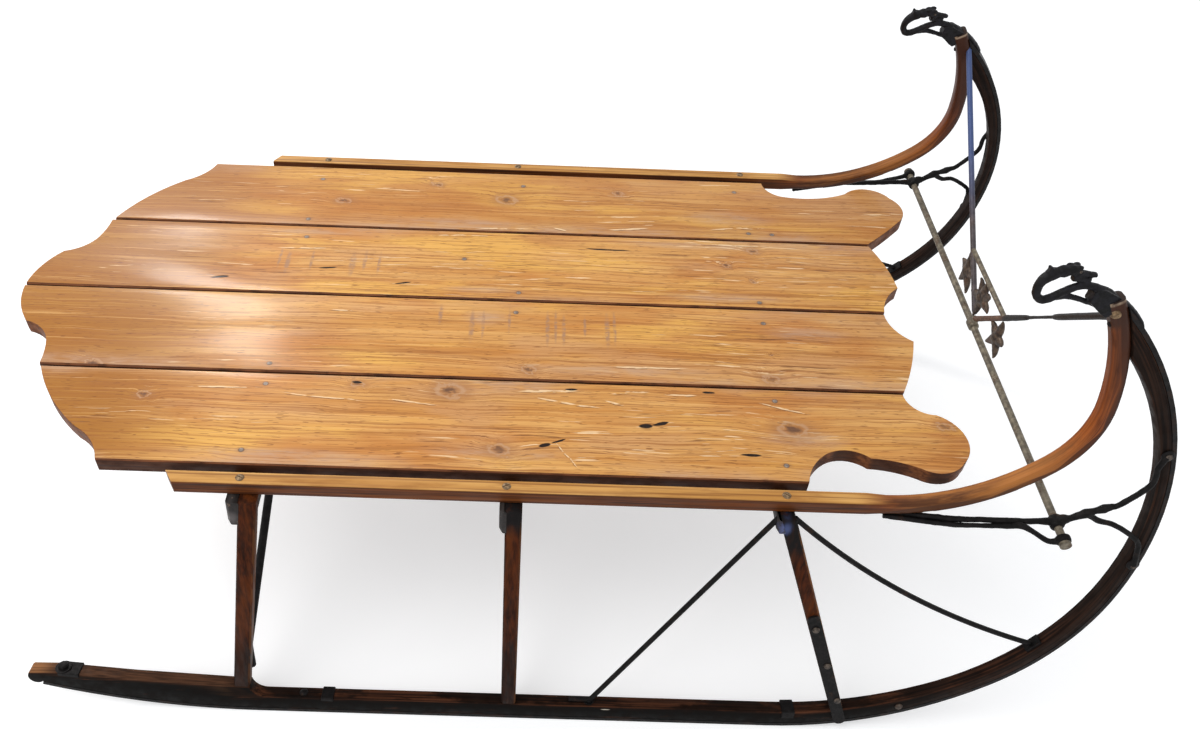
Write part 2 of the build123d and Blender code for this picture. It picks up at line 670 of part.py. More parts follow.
# Rows of (name, y, height up the slope, points, 1 or -1 to turn them over).
LEAVES = (
    ("leaf_left", 84.0, 34.0, SIDE_LEAF, -1),
    ("leaf_middle", 6.0, 41.0, MIDDLE_LEAF, 1),
    ("leaf_right", -84.0, 34.0, SIDE_LEAF, 1),
)
LEAF_WAIST = 17.0  # reach of the notches between the points
LEAF_EDGE = 3.0
LEAF_CROWN = 9.0  # thickness at the raised middle
LEAF_CROWN_SHARE = 0.3
FULL_TURN = 360.0


def v_bar():
    """Right bar of the V, from the cross rod up to the runner's tip."""
    points = [(-V_GAP, V_SLOPE * V_GAP, 0), (-V_TOP_Y, V_SLOPE * V_TOP_Y, 0)]
    return V_PLACE * rod(points, V_BAR_R)


def v_tie():
    """Short tie between the V bars."""
    half = V_TIE_UP / V_SLOPE
    return V_PLACE * rod([(-half, V_TIE_UP, 0), (half, V_TIE_UP, 0)], V_TIE_R)


def v_knuckle():
    """Forged knuckle that holds the V's foot on the cross rod."""
    collar = across(0, KNUCKLE_R, KNUCKLE_WIDTH)
    foot = Pos(ROD_X, 0, V_FOOT_Z) * Sphere(KNUCKLE_R)
    return collar + foot


def leaf(y, height, tips, flip):
    """Cast leaf with a raised middle and sharp points."""
    knots = []
    first_again = (tips[0][0] + FULL_TURN, tips[0][1])
    for (direction, reach), (after, _) in zip(tips, (*tips[1:], first_again)):
        for angle, length in ((direction, reach), ((direction + after) / 2, LEAF_WAIST)):
            turned = math.radians(angle)
            knots.append((flip * length * math.cos(turned), length * math.sin(turned)))
    raised = [(LEAF_CROWN_SHARE * a, LEAF_CROWN_SHARE * b) for a, b in knots]
    outline = make_face(Polyline(*knots, close=True))
    crown = make_face(Polyline(*raised, close=True))
    top = loft([Pos(0, 0, LEAF_EDGE / 2) * outline, Pos(0, 0, LEAF_CROWN / 2) * crown], ruled=True)
    casting = extrude(outline, LEAF_EDGE / 2, both=True) + top + mirror(top, about=Plane.XY)
    return V_PLACE * Pos(y, height) * casting


right_v_bar = trimmed(v_bar(), right_rail, right_runner, right_shoe, front_rod)
left_v_bar = mirror(right_v_bar, about=Plane.XZ)
knuckle = trimmed(v_knuckle(), front_rod)
right_v_bar = trimmed(right_v_bar, knuckle)
left_v_bar = trimmed(left_v_bar, knuckle)
save("v_bar_right", right_v_bar)
save("v_bar_left", left_v_bar)
save("v_knuckle", knuckle)
tie = trimmed(v_tie(), right_v_bar, left_v_bar)
save("v_tie", tie)
ironwork = (right_v_bar, left_v_bar, tie, knuckle, front_rod)
for name, y, height, tips, flip in LEAVES:
    save(name, trimmed(leaf(y, height, tips, flip), *ironwork))

# ---- Curled beast-head finials on the runners' tips ----
# Points are (x, height up the slope) from the runner's tip.
FINIAL_NECK = (
    (-4, -6), (-20, 4), (-32, 9.5), (-46, 13.5), (-62, 5), (-78, -7), (-90, -11.5),
    (-99, -3), (-99.5, 9), (-95, 19), (-86, 24),
)
FINIAL_BEARD = ((-12, -20), (-33, -11.5), (-46, -7.5), (-60, -5), (-78, -7))
FINIAL_NECK_R = 5.0
FINIAL_BEARD_R = 3.5
FINIAL_BEND = 5.0
FINIAL_SOCKET = ((12, -12), (3, -3), (-20, 9), (-33, 6), (-34, -8), (-17, -24), (-10, -29))
FINIAL_SOCKET_THICK = 18.0
# Rows of two points for a line and three for an arc.
FINIAL_HEAD = (
    ((-97, 17), (-95, 27)),
    ((-95, 27), (-94, 36)),
    ((-94, 36), (-86, 30)),
    ((-86, 30), (-76, 37), (-66, 38)),
    ((-66, 38), (-58, 35), (-54, 29)),
    ((-54, 29), (-39, 27)),
    ((-39, 27), (-36, 24), (-39, 20)),
    ((-39, 20), (-56, 18)),
    ((-56, 18), (-66, 20), (-75, 15)),
    ((-75, 15), (-79, 17)),
    ((-79, 17), (-88, 18), (-97, 17)),
)
HEAD_AXIS = (-68.0, 26.0)  # middle of the cylinder that rounds the head's sides
HEAD_ROUND = 12.0
HEAD_HALF = 8.0


def finial():
    """Cast beast head on a curled neck, with a socket over the runner's tip."""
    neck = rod([(x, y, 0) for x, y in FINIAL_NECK], FINIAL_NECK_R, FINIAL_BEND)
    beard = rod([(x, y, 0) for x, y in FINIAL_BEARD], FINIAL_BEARD_R, FINIAL_BEND)
    outline = make_face(Polyline(*FINIAL_SOCKET, close=True))
    socket = extrude(outline, FINIAL_SOCKET_THICK / 2, both=True)
    length = 2 * abs(FINIAL_HEAD[0][0][0] - HEAD_AXIS[0])
    sides = Pos(*HEAD_AXIS) * Rot(0, 90, 0) * Cylinder(HEAD_ROUND, length)
    head = extrude(mixed_outline(FINIAL_HEAD), HEAD_HALF, both=True) & sides
    return SIDE * Pos(*RUNNER_TIP, MIDDLE_OUT) * (neck + beard + socket + head)


save_pair("finial", trimmed(finial(), right_rail, right_runner, right_shoe, right_v_bar))
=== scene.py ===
import math

import bmesh
import bpy
from mathutils import Matrix, Vector, noise
from mathutils.bvhtree import BVHTree

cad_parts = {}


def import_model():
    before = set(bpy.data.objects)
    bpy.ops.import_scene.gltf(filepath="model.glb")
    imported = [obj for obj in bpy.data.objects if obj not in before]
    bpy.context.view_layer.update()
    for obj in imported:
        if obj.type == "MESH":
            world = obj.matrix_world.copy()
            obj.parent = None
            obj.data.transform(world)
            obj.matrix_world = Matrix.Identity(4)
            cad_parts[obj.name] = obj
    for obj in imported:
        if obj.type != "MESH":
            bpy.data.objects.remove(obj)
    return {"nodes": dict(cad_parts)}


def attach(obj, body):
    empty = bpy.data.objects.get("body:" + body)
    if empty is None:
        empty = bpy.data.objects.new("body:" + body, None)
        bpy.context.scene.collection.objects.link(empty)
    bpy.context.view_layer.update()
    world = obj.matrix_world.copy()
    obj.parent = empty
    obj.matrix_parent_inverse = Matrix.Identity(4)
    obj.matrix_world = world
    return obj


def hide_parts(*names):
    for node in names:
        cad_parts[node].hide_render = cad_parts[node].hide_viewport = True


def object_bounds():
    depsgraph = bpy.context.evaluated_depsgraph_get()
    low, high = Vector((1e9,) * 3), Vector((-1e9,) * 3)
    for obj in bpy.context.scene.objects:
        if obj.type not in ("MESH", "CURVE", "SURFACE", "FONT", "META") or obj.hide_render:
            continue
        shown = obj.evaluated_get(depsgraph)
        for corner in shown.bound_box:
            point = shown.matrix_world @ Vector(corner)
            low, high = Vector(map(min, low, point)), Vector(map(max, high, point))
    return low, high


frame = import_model()
cad_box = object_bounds()
nodes = frame["nodes"]

# Lengths are in millimetres here, and metres in the meshes.
MM = 0.001
RIGHT, LEFT = -1, 1
HANDS = ((RIGHT, "right"), (LEFT, "left"))

# ---- Places shared with the frame ----
LEAN = math.radians(11.2)
HALF_TRACK = 507.5
SOLE_LIFT = 1.5
RUNNER_THICK = 22
MIDDLE_OUT = -RUNNER_THICK / 2
RUNNER_TOP = 33
TIP = (678.15, 799.89)  # of the runner: x, height up the slope
DECK_TOP = 452
RAIL_Z = 440
ROD = (715, 435)  # x, z of the cross rod
IRON_Y = HALF_TRACK - (ROD[1] - SOLE_LIFT) * math.tan(LEAN) - 7.7
BEND_START = 378.5
BEND_OUTER = ((550, 37.2), (355, 40.5), (490, 62.5))
RAIL_Y = HALF_TRACK - (RAIL_Z - SOLE_LIFT) * math.tan(LEAN) - 25.2
RAIL_HALF = 11
RAIL_BEND = ((293, 44), (131, 50), (360, 26.7))
RAIL_END = (674.6, 342.1, 780.1)


STRAIGHT_REACH = 90  # how far above a straight run a point still belongs to it
BEND_REACH = 50  # how far in or out of a bend


class Bend:
    """Straight run along X, then arcs of (radius, turn) upwards."""

    def __init__(self, start, rows, scale=1):
        self.start = start
        self.arcs = []
        x, y, angle, run = start, 0, 0, start
        for radius, turn in rows:
            radius *= scale
            middle = (x - radius * math.sin(angle), y + radius * math.cos(angle))
            last = angle + math.radians(turn)
            self.arcs.append((middle, radius, angle, last, run))
            run += radius * (last - angle)
            angle = last
            x, y = middle[0] + radius * math.sin(angle), middle[1] - radius * math.cos(angle)
        self.end = (x, y)
        self.run = run

    def coordinates(self, x, y):
        """Distance along the run, and depth inside the bend, of a point beside it."""
        found = (x, y)
        best = 1e9
        if x <= self.start and abs(y) < STRAIGHT_REACH:
            return found
        for (a, b), radius, first, last, run in self.arcs:
            angle = math.atan2(x - a, b - y)
            if angle < -math.pi / 2:
                angle += 2 * math.pi
            depth = radius - math.hypot(x - a, y - b)
            kept = min(max(angle, first), last)
            if self.arcs[-1][0] == (a, b):
                kept = max(angle, first)
            miss = abs(angle - kept) * radius + max(0, abs(depth) - BEND_REACH)
            if miss < best - 1e-6:
                best = miss
                found = (run + radius * (kept - first), depth)
        return found

    def planes(self, step):
        """Points on the run and directions along it, each step."""
        found = []
        for (a, b), radius, first, last, _ in self.arcs:
            count = max(1, int(radius * (last - first) / step))
            for k in range(count):
                angle = first + k / count * (last - first)
                place = (a + radius * math.sin(angle), b - radius * math.cos(angle))
                found.append((place, (math.cos(angle), math.sin(angle))))
        return found


RUNNER_RUN = Bend(BEND_START, BEND_OUTER)
RAIL_LEAN = math.atan2(RAIL_Y - RAIL_END[1], RAIL_END[2] - RAIL_Z)
RAIL_RISE = math.hypot(RAIL_Y - RAIL_END[1], RAIL_END[2] - RAIL_Z)
UNSCALED_END = Bend(0, RAIL_BEND).end
RAIL_SCALE = RAIL_RISE / UNSCALED_END[1]
RAIL_RUN = Bend(RAIL_END[0] - UNSCALED_END[0] * RAIL_SCALE, RAIL_BEND, RAIL_SCALE)


def side(x, slope, out=0, hand=RIGHT):
    """Point by a runner's outer face: forwards, up the slope, outwards."""
    across = HALF_TRACK - slope * math.sin(LEAN) + out * math.cos(LEAN)
    up = SOLE_LIFT + slope * math.cos(LEAN) + out * math.sin(LEAN)
    return Vector((x, hand * across, up)) * MM


def side_turn(hand, lean=LEAN):
    """Turns forwards, up the slope and outwards into the frame's axes."""
    up = Vector((0, -hand * math.sin(lean), math.cos(lean)))
    out = Vector((0, hand * math.cos(lean), math.sin(lean)))
    return Matrix((Vector((1, 0, 0)), up, out)).transposed()


def world(x, y, z, hand=LEFT):
    """Point in the frame, with y counted outwards on that side."""
    return Vector((x, hand * y, z)) * MM


def bend_point(heading, depth, out=0, hand=RIGHT):
    """Point by the runner's bend where its sole has turned by heading, that deep inside it."""
    x, y, angle = BEND_START, 0, 0
    for radius, turn in BEND_OUTER:
        turned = math.radians(min(turn, heading))
        x += radius * (math.sin(angle + turned) - math.sin(angle))
        y += radius * (math.cos(angle) - math.cos(angle + turned))
        angle += turned
        heading -= turn
        if heading <= 0:
            break
    return side(x - depth * math.sin(angle), y + depth * math.cos(angle), out, hand)


# ---- Mesh tools ----
def flow(knots, steps):
    """Smooth run of (point, radius) through knots of the same kind."""
    rows = [knots[0]] + list(knots) + [knots[-1]]
    run = []
    for i in range(1, len(rows) - 2):
        for step in range(steps):
            t = step / steps
            weights = (
                -t / 2 + t * t - t ** 3 / 2,
                1 - 2.5 * t * t + 1.5 * t ** 3,
                t / 2 + 2 * t * t - 1.5 * t ** 3,
                -t * t / 2 + t ** 3 / 2,
            )
            near = rows[i - 1:i + 3]
            point = sum((row[0] * weight for row, weight in zip(near, weights)), Vector())
            run.append((point, sum(row[1] * weight for row, weight in zip(near, weights))))
    run.append(knots[-1])
    return run


def stitched(bm, rings):
    """Closed skin over rings of as many vertices each."""
    for low, high in zip(rings, rings[1:]):
        for k in range(len(low)):
            bm.faces.new((low[k - 1], low[k], high[k], high[k - 1]))
    bm.faces.new(list(rings[0]))
    bm.faces.new(list(reversed(rings[-1])))


def ellipse(bm, centre, first, second, sides):
    """Vertices round a centre, on the ellipse with those two radii."""
    turns = [2 * math.pi * k / sides for k in range(sides)]
    return [bm.verts.new(centre + first * math.cos(turn) + second * math.sin(turn)) for turn in turns]


def tube(bm, run, sides=14, flat=1, about=Vector((0, 0, 1))):
    """Closed tube along a run of (point, radius); flat squeezes it across the direction about."""
    rings = []
    normal = None
    for i, (point, radius) in enumerate(run):
        ahead = (run[min(i + 1, len(run) - 1)][0] - run[max(i - 1, 0)][0]).normalized()
        start = normal if normal is not None else about
        normal = (start - ahead * start.dot(ahead))
        if normal.length < 1e-6:
            normal = ahead.orthogonal()
        normal.normalize()
        rings.append(ellipse(bm, point, normal * radius, ahead.cross(normal) * (radius * flat), sides))
    stitched(bm, rings)


def lump(bm, centre, reach, turn=None):
    """Ellipsoid with its reach along each axis of turn."""
    place = Matrix.Translation(centre)
    if turn is not None:
        place = place @ turn.to_4x4()
    size = Matrix.Diagonal((*[part * MM for part in reach], 1))
    bmesh.ops.create_icosphere(bm, subdivisions=3, radius=1, matrix=place @ size)


def lathe(bm, centre, axis, profile, sides=24):
    """Solid of revolution from rows of (radius, height along the axis), closed at both ends."""
    axis = axis.normalized()
    across = axis.orthogonal().normalized()
    stitched(bm, [
        ellipse(bm, centre + axis * (height * MM), across * (r * MM), axis.cross(across) * (r * MM), sides)
        for r, height in profile
    ])


def slab(bm, outline, turn, centre, low, high):
    """Plate with that outline of (a, b), between two heights along turn's third axis."""
    stitched(bm, [
        [bm.verts.new(centre + turn @ (Vector((a, b, height)) * MM)) for a, b in outline]
        for height in (low, high)
    ])


def modified(bm, add):
    """bm with the modifiers that add puts on its object."""
    mesh = bpy.data.meshes.new("working")
    bm.to_mesh(mesh)
    bm.free()
    thing = bpy.data.objects.new("working", mesh)
    bpy.context.scene.collection.objects.link(thing)
    add(thing.modifiers)
    skin = bpy.data.meshes.new_from_object(thing.evaluated_get(bpy.context.evaluated_depsgraph_get()))
    bpy.data.objects.remove(thing)
    done = bmesh.new()
    done.from_mesh(skin)
    return done


def fused(bm, voxel, rounds=2):
    """One skin over everything in bm, softened a little."""

    def add(modifiers):
        remesh = modifiers.new("skin", "REMESH")
        remesh.mode = "VOXEL"
        remesh.voxel_size = voxel * MM
        modifiers.new("soften", "SMOOTH").iterations = rounds

    bmesh.ops.recalc_face_normals(bm, faces=bm.faces)
    return modified(bm, add)


def cut_by(bm, name):
    """Takes the space of a CAD node out of bm."""

    def add(modifiers):
        cut = modifiers.new("cut", "BOOLEAN")
        cut.operation = "DIFFERENCE"
        cut.object = nodes[name]

    return modified(bm, add)


def hammered(bm, amount, size, seed=0):
    """Pushes the skin in and out along its normals, as hammering and rust leave it."""
    bm.normal_update()
    for vert in bm.verts:
        at = vert.co / (size * MM) + Vector((seed, 0, 0))
        push = noise.noise(at) + 0.4 * noise.noise(at * 2.7)
        vert.co += vert.normal * (push * amount * MM)


def rounded(bm, width, limit=30, segments=2, mark=0):
    """Rounds every edge sharper than limit; mark is the new faces' material slot."""
    bm.normal_update()
    sharp = [e for e in bm.edges if len(e.link_faces) == 2 and e.calc_face_angle() > math.radians(limit)]
    bmesh.ops.bevel(
        bm, geom=sharp, offset=width * MM, segments=segments, profile=0.5, affect="EDGES",
        clamp_overlap=True, material=mark,
    )


def from_node(name):
    """Copy of a CAD node's mesh, joined up, with flat areas as single faces."""
    bm = bmesh.new()
    bm.from_mesh(nodes[name].data)
    bmesh.ops.remove_doubles(bm, verts=bm.verts, dist=1e-6)
    bmesh.ops.dissolve_limit(bm, angle_limit=math.radians(0.3), verts=bm.verts, edges=bm.edges)
    return bm


def carry(bm, run, origin, turn):
    """Stores at each vertex how far it is along, across and deep inside a bend."""
    grain = bm.verts.layers.float_vector.new("grain")
    for vert in bm.verts:
        off = turn.transposed() @ (vert.co - origin) / MM
        along, depth = run.coordinates(off.x, off.y)
        vert[grain] = Vector((along, off.z, depth)) * MM


SLICE_REACH = 0.2  # metres round each cut, which leaves the other parts of the bend whole


def sliced(bm, run, origin, turn, step):
    """Cuts the faces across a bend at each step along it."""
    for (x, y), (ahead, up) in run.planes(step):
        place = origin + turn @ (Vector((x, y, 0)) * MM)
        normal = turn @ Vector((ahead, up, 0))
        near = [v for v in bm.verts if (v.co - place).length < SLICE_REACH]
        faces = {f for v in near for f in v.link_faces}
        edges = {e for f in faces for e in f.edges}
        geom = list(faces) + list(edges) + list({v for f in faces for v in f.verts})
        bmesh.ops.bisect_plane(bm, geom=geom, dist=1e-6, plane_co=place, plane_no=normal)


def piece(name, bm, looks, replaced=(), limit=35):
    """Makes an object that rides with the sleigh."""
    bm.normal_update()
    for edge in bm.edges:
        edge.smooth = len(edge.link_faces) == 2 and edge.calc_face_angle() < math.radians(limit)
    for face in bm.faces:
        face.smooth = True
    mesh = bpy.data.meshes.new(name)
    bm.to_mesh(mesh)
    bm.free()
    for look in looks:
        mesh.materials.append(look)
    made = bpy.data.objects.new(name, mesh)
    bpy.context.scene.collection.objects.link(made)
    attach(made, "root")
    if replaced:
        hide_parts(*replaced)


# ---- Materials ----
def tone(red, green, blue):
    """Colour written as it shows on a screen, 0 to 255."""
    parts = []
    for value in (red, green, blue):
        share = value / 255
        parts.append(share / 12.92 if share <= 0.04045 else ((share + 0.055) / 1.055) ** 2.4)
    return (*parts, 1)


class Wire:
    """Output of a node, and the sums that it goes into; a | b is the larger of the two."""

    def __init__(self, graph, socket):
        self.graph = graph
        self.socket = socket

    def sum(self, operation, other=0):
        return self.graph.made("ShaderNodeMath", 0, {0: self, 1: other}, operation=operation)

    def __add__(self, other):
        return self.sum("ADD", other)

    def __sub__(self, other):
        return self.sum("SUBTRACT", other)

    def __mul__(self, other):
        return self.sum("MULTIPLY", other)

    def __or__(self, other):
        return self.sum("MAXIMUM", other)

    def __abs__(self):
        return self.sum("ABSOLUTE")

    def reach(self, low=0.3, high=0.7, out_low=0, out_high=1):
        """Smooth step from low to high."""
        inputs = {"Value": self, "From Min": low, "From Max": high, "To Min": out_low, "To Max": out_high}
        return self.graph.made("ShaderNodeMapRange", 0, inputs, interpolation_type="SMOOTHSTEP")

    def tint(self, *rows):
        """This colour under others, from rows of (share, red, green, blue)."""
        found = self
        for share, *colour in rows:
            found = self.graph.blend(share, found, tone(*colour))
        return found


class Graph:
    """Node tree of a material or a world, with short calls for its nodes."""

    def __init__(self, owner):
        owner.use_nodes = True
        self.tree = owner.node_tree

    def node(self, kind, inputs, **settings):
        """Node with those inputs, each a wire or a value of its own."""
        made = self.tree.nodes.new(kind)
        for key, value in settings.items():
            setattr(made, key, value)
        for key, value in inputs.items():
            self.join(made.inputs[key], value)
        return made

    def made(self, kind, output, inputs, **settings):
        return Wire(self, self.node(kind, inputs, **settings).outputs[output])

    def join(self, socket, value):
        if isinstance(value, Wire):
            self.tree.links.new(value.socket, socket)
        else:
            socket.default_value = value

    def any(self, masks):
        """The strongest of several masks, or 0 if there is none."""
        found = masks[0] if masks else 0
        for mask in masks[1:]:
            found = found | mask
        return found

    def background_rays(self):
        """1 for the rays that see the background white: the camera's, reflections and through glass."""
        path = self.node("ShaderNodeLightPath", {})
        kinds = ("Is Camera Ray", "Is Glossy Ray", "Is Transmission Ray")
        return self.any([Wire(self, path.outputs[kind]) for kind in kinds])


class Look(Graph):
    """Node material of the sleigh or the floor."""

    def __init__(self, name):
        self.material = bpy.data.materials.new(name)
        super().__init__(self.material)
        self.shader = self.tree.nodes["Principled BSDF"]
        self.at = self.made("ShaderNodeTexCoord", "Object", {})
        self.facing = self.made("ShaderNodeTexCoord", "Normal", {})

    def put(self, name, value):
        """Gives the shader's socket a wire or a value of its own."""
        self.join(self.shader.inputs[name], value)

    def finished(self, colour, roughness, specular, *rows):
        """The material with these on its shader, and the rows of its bumps."""
        self.put("Base Color", colour)
        self.put("Roughness", roughness)
        self.put("Specular IOR Level", specular)
        self.bumps(*rows)
        return self.material

    def vector(self, operation, first, second=(0, 0, 0)):
        output = "Value" if operation == "LENGTH" else "Vector"
        return self.made("ShaderNodeVectorMath", output, {0: first, 1: second}, operation=operation)

    def parts(self, vector):
        made = self.node("ShaderNodeSeparateXYZ", {0: vector})
        return [Wire(self, socket) for socket in made.outputs]

    def joined(self, *parts):
        return self.made("ShaderNodeCombineXYZ", 0, dict(enumerate(parts)))

    def noise(self, scale, at=None, detail=3, rough=0.5, shift=(0, 0, 0)):
        """Noise from 0 to 1 with a scale for each axis."""
        place = self.vector("MULTIPLY", self.at if at is None else at, scale)
        if any(shift):
            place = self.vector("ADD", place, shift)
        inputs = {"Vector": place, "Scale": 1, "Detail": detail, "Roughness": rough}
        return self.made("ShaderNodeTexNoise", 0, inputs)

    def blend(self, share, first, second):
        return self.made("ShaderNodeMix", 2, {0: share, 6: first, 7: second}, data_type="RGBA")

    def spot(self, centre, reach, soft=0.6, turn=0, at=None):
        """1 at the centre and 0 outside the reach, both in millimetres."""
        off = self.vector("SUBTRACT", self.at if at is None else at, [part * MM for part in centre])
        if turn:
            inputs = {"Vector": off, "Angle": math.radians(-turn)}
            off = self.made("ShaderNodeVectorRotate", 0, inputs, rotation_type="Z_AXIS")
        far = self.vector("LENGTH", self.vector("MULTIPLY", off, [1 / (part * MM) for part in reach]))
        return far.reach(1, 1 - soft)

    def both(self, x, y, z, reach, soft):
        """A spot on each side of the sleigh."""
        return self.any([self.spot((x, hand * y, z), reach, soft) for hand in (LEFT, RIGHT)])

    def deck_marks(self, rows, soft, at=None, thick=1):
        """Marks in the deck, from rows of (x, y, half length, half width, turn)."""
        return self.any([
            self.spot((a, b, DECK_TOP), (length, width * thick, DEEP), soft, turn, at)
            for a, b, length, width, turn in rows
        ])

    def bumps(self, *rows):
        """Rows of (height, strength, distance in millimetres)."""
        inputs = {}
        for height, strength, distance in rows:
            inputs.update({"Strength": strength, "Distance": distance * MM, "Height": height})
            inputs["Normal"] = self.made("ShaderNodeBump", 0, inputs)
        self.put("Normal", inputs["Normal"])

    def carried(self):
        """The grain coordinates that the mesh carries: along, across and inwards, in metres."""
        return self.made("ShaderNodeAttribute", "Vector", {}, attribute_name="grain")


# Marks on the deck, as rows of (x, y, half length, half width, turn), by board.
SPLITS = {
    "left_inner": (
        (-545, 36, 17, 2.6, 4), (-370, 68, 17, 2.8, 3), (-239, 34, 16, 2.4, 14), (109, 145, 46, 2.4, -3),
    ),
    "right_outer": (
        (2, -317, 10, 4.4, 12), (22, -309, 13, 2.4, 24), (150, -273, 12, 5, 6), (172, -268, 15, 2.6, 12),
        (299, -324, 17, 3, -4), (41, -203, 11, 2.8, 0), (250, -200, 11, 2.8, 0), (-283, -203, 9, 2.4, 0),
    ),
}
SCRATCHES = {
    "left_outer": (
        (-75, 195, 53, 2.4, 3), (24, 200, 14, 2.2, -15), (147, 207, 40, 2.2, 6), (344, 220, 56, 2.4, 6),
    ),
    "left_inner": ((-150, 172, 60, 2, 1), (330, 170, 82, 1.8, 1), (-420, 120, 50, 1.6, 2)),
    "right_inner": ((160, -150, 70, 2, 1), (-330, -40, 40, 1.6, -2)),
    "right_outer": (
        (7, -208, 52, 2.8, 3), (36, -231, 58, 2, -10), (130, -206, 33, 2.4, 6), (106, -228, 17, 2.2, -20),
        (207, -206, 27, 2.2, 0), (360, -228, 42, 2, -17), (356, -256, 16, 2.4, -8),
        (33, -334, 30, 1.3, -54), (-480, -222, 60, 1.5, 3), (-330, -236, 70, 1.4, -5),
        (-200, -240, 50, 1.3, -8),
    ),
}
BLEACHED = {
    "left_outer": ((-150, 210, 190, 16, 0), (330, 250, 120, 30, 0)),
    "left_inner": (
        (-105, 24, 90, 13, 0), (290, 25, 150, 16, 0), (280, 165, 200, 14, 0), (-420, 168, 170, 12, 0),
    ),
    "right_inner": ((120, -158, 220, 17, 0), (-95, -45, 50, 26, 0), (420, -60, 90, 24, 0)),
    "right_outer": ((-60, -335, 150, 20, 0), (-380, -350, 200, 16, 0), (380, -290, 90, 24, 0)),
}
# Rows of (x, y, radius) of the knots.
KNOTS = {
    "left_outer": ((-75, 284, 11), (-8, 182, 8), (-372, 264, 8), (133, 317, 6), (-206, 327, 6)),
    "left_inner": ((314, 111, 4), (363, 156, 6), (353, 71, 3)),
    "right_inner": ((-24, -163, 7), (350, -166, 8), (-688, -181, 8), (359, -111, 2)),
    "right_outer": (
        (-142, -214, 13), (368, -270, 13), (-592, -243, 6), (-283, -206, 6), (-63, -329, 9), (597, -255, 7),
    ),
}
# Rows of (x, y, half width, half length) of the saw marks across the boards.
SAW_MARKS = (
    (-118, -66, 6, 50), (-100, -60, 4, 44), (-58, -50, 3.5, 40), (4, -66, 5, 52), (17, -62, 3.5, 50),
    (30, -70, 4.5, 48), (64, -60, 3.5, 34), (100, -66, 6, 52), (112, -60, 4, 50), (-170, -40, 5, 30),
    (-455, 92, 4, 36), (-440, 80, 6, 40), (-400, 88, 4, 34), (-330, 80, 8, 40), (-310, 92, 5, 36),
    (-285, 84, 4, 40),
)
# Rows of (x, y) of the nails that hold the boards on the beams.
NAILS = (
    (363, 207), (405, 206), (-426, 204), (-420, 152), (-141, 105), (357, 16), (356, -36),
    (-422, -168), (-419, -212), (349, -213), (347, -341), (-427, -345), (-420, 330),
    (-45, 330), (352, 335), (-45, 20), (-48, -30),
)
BOARD_MIDDLE = {"left_outer": 279, "left_inner": 94, "right_inner": -94, "right_outer": -279}
HALF_BOARD = 93
DEEP = 60  # reach of the deck's marks through it


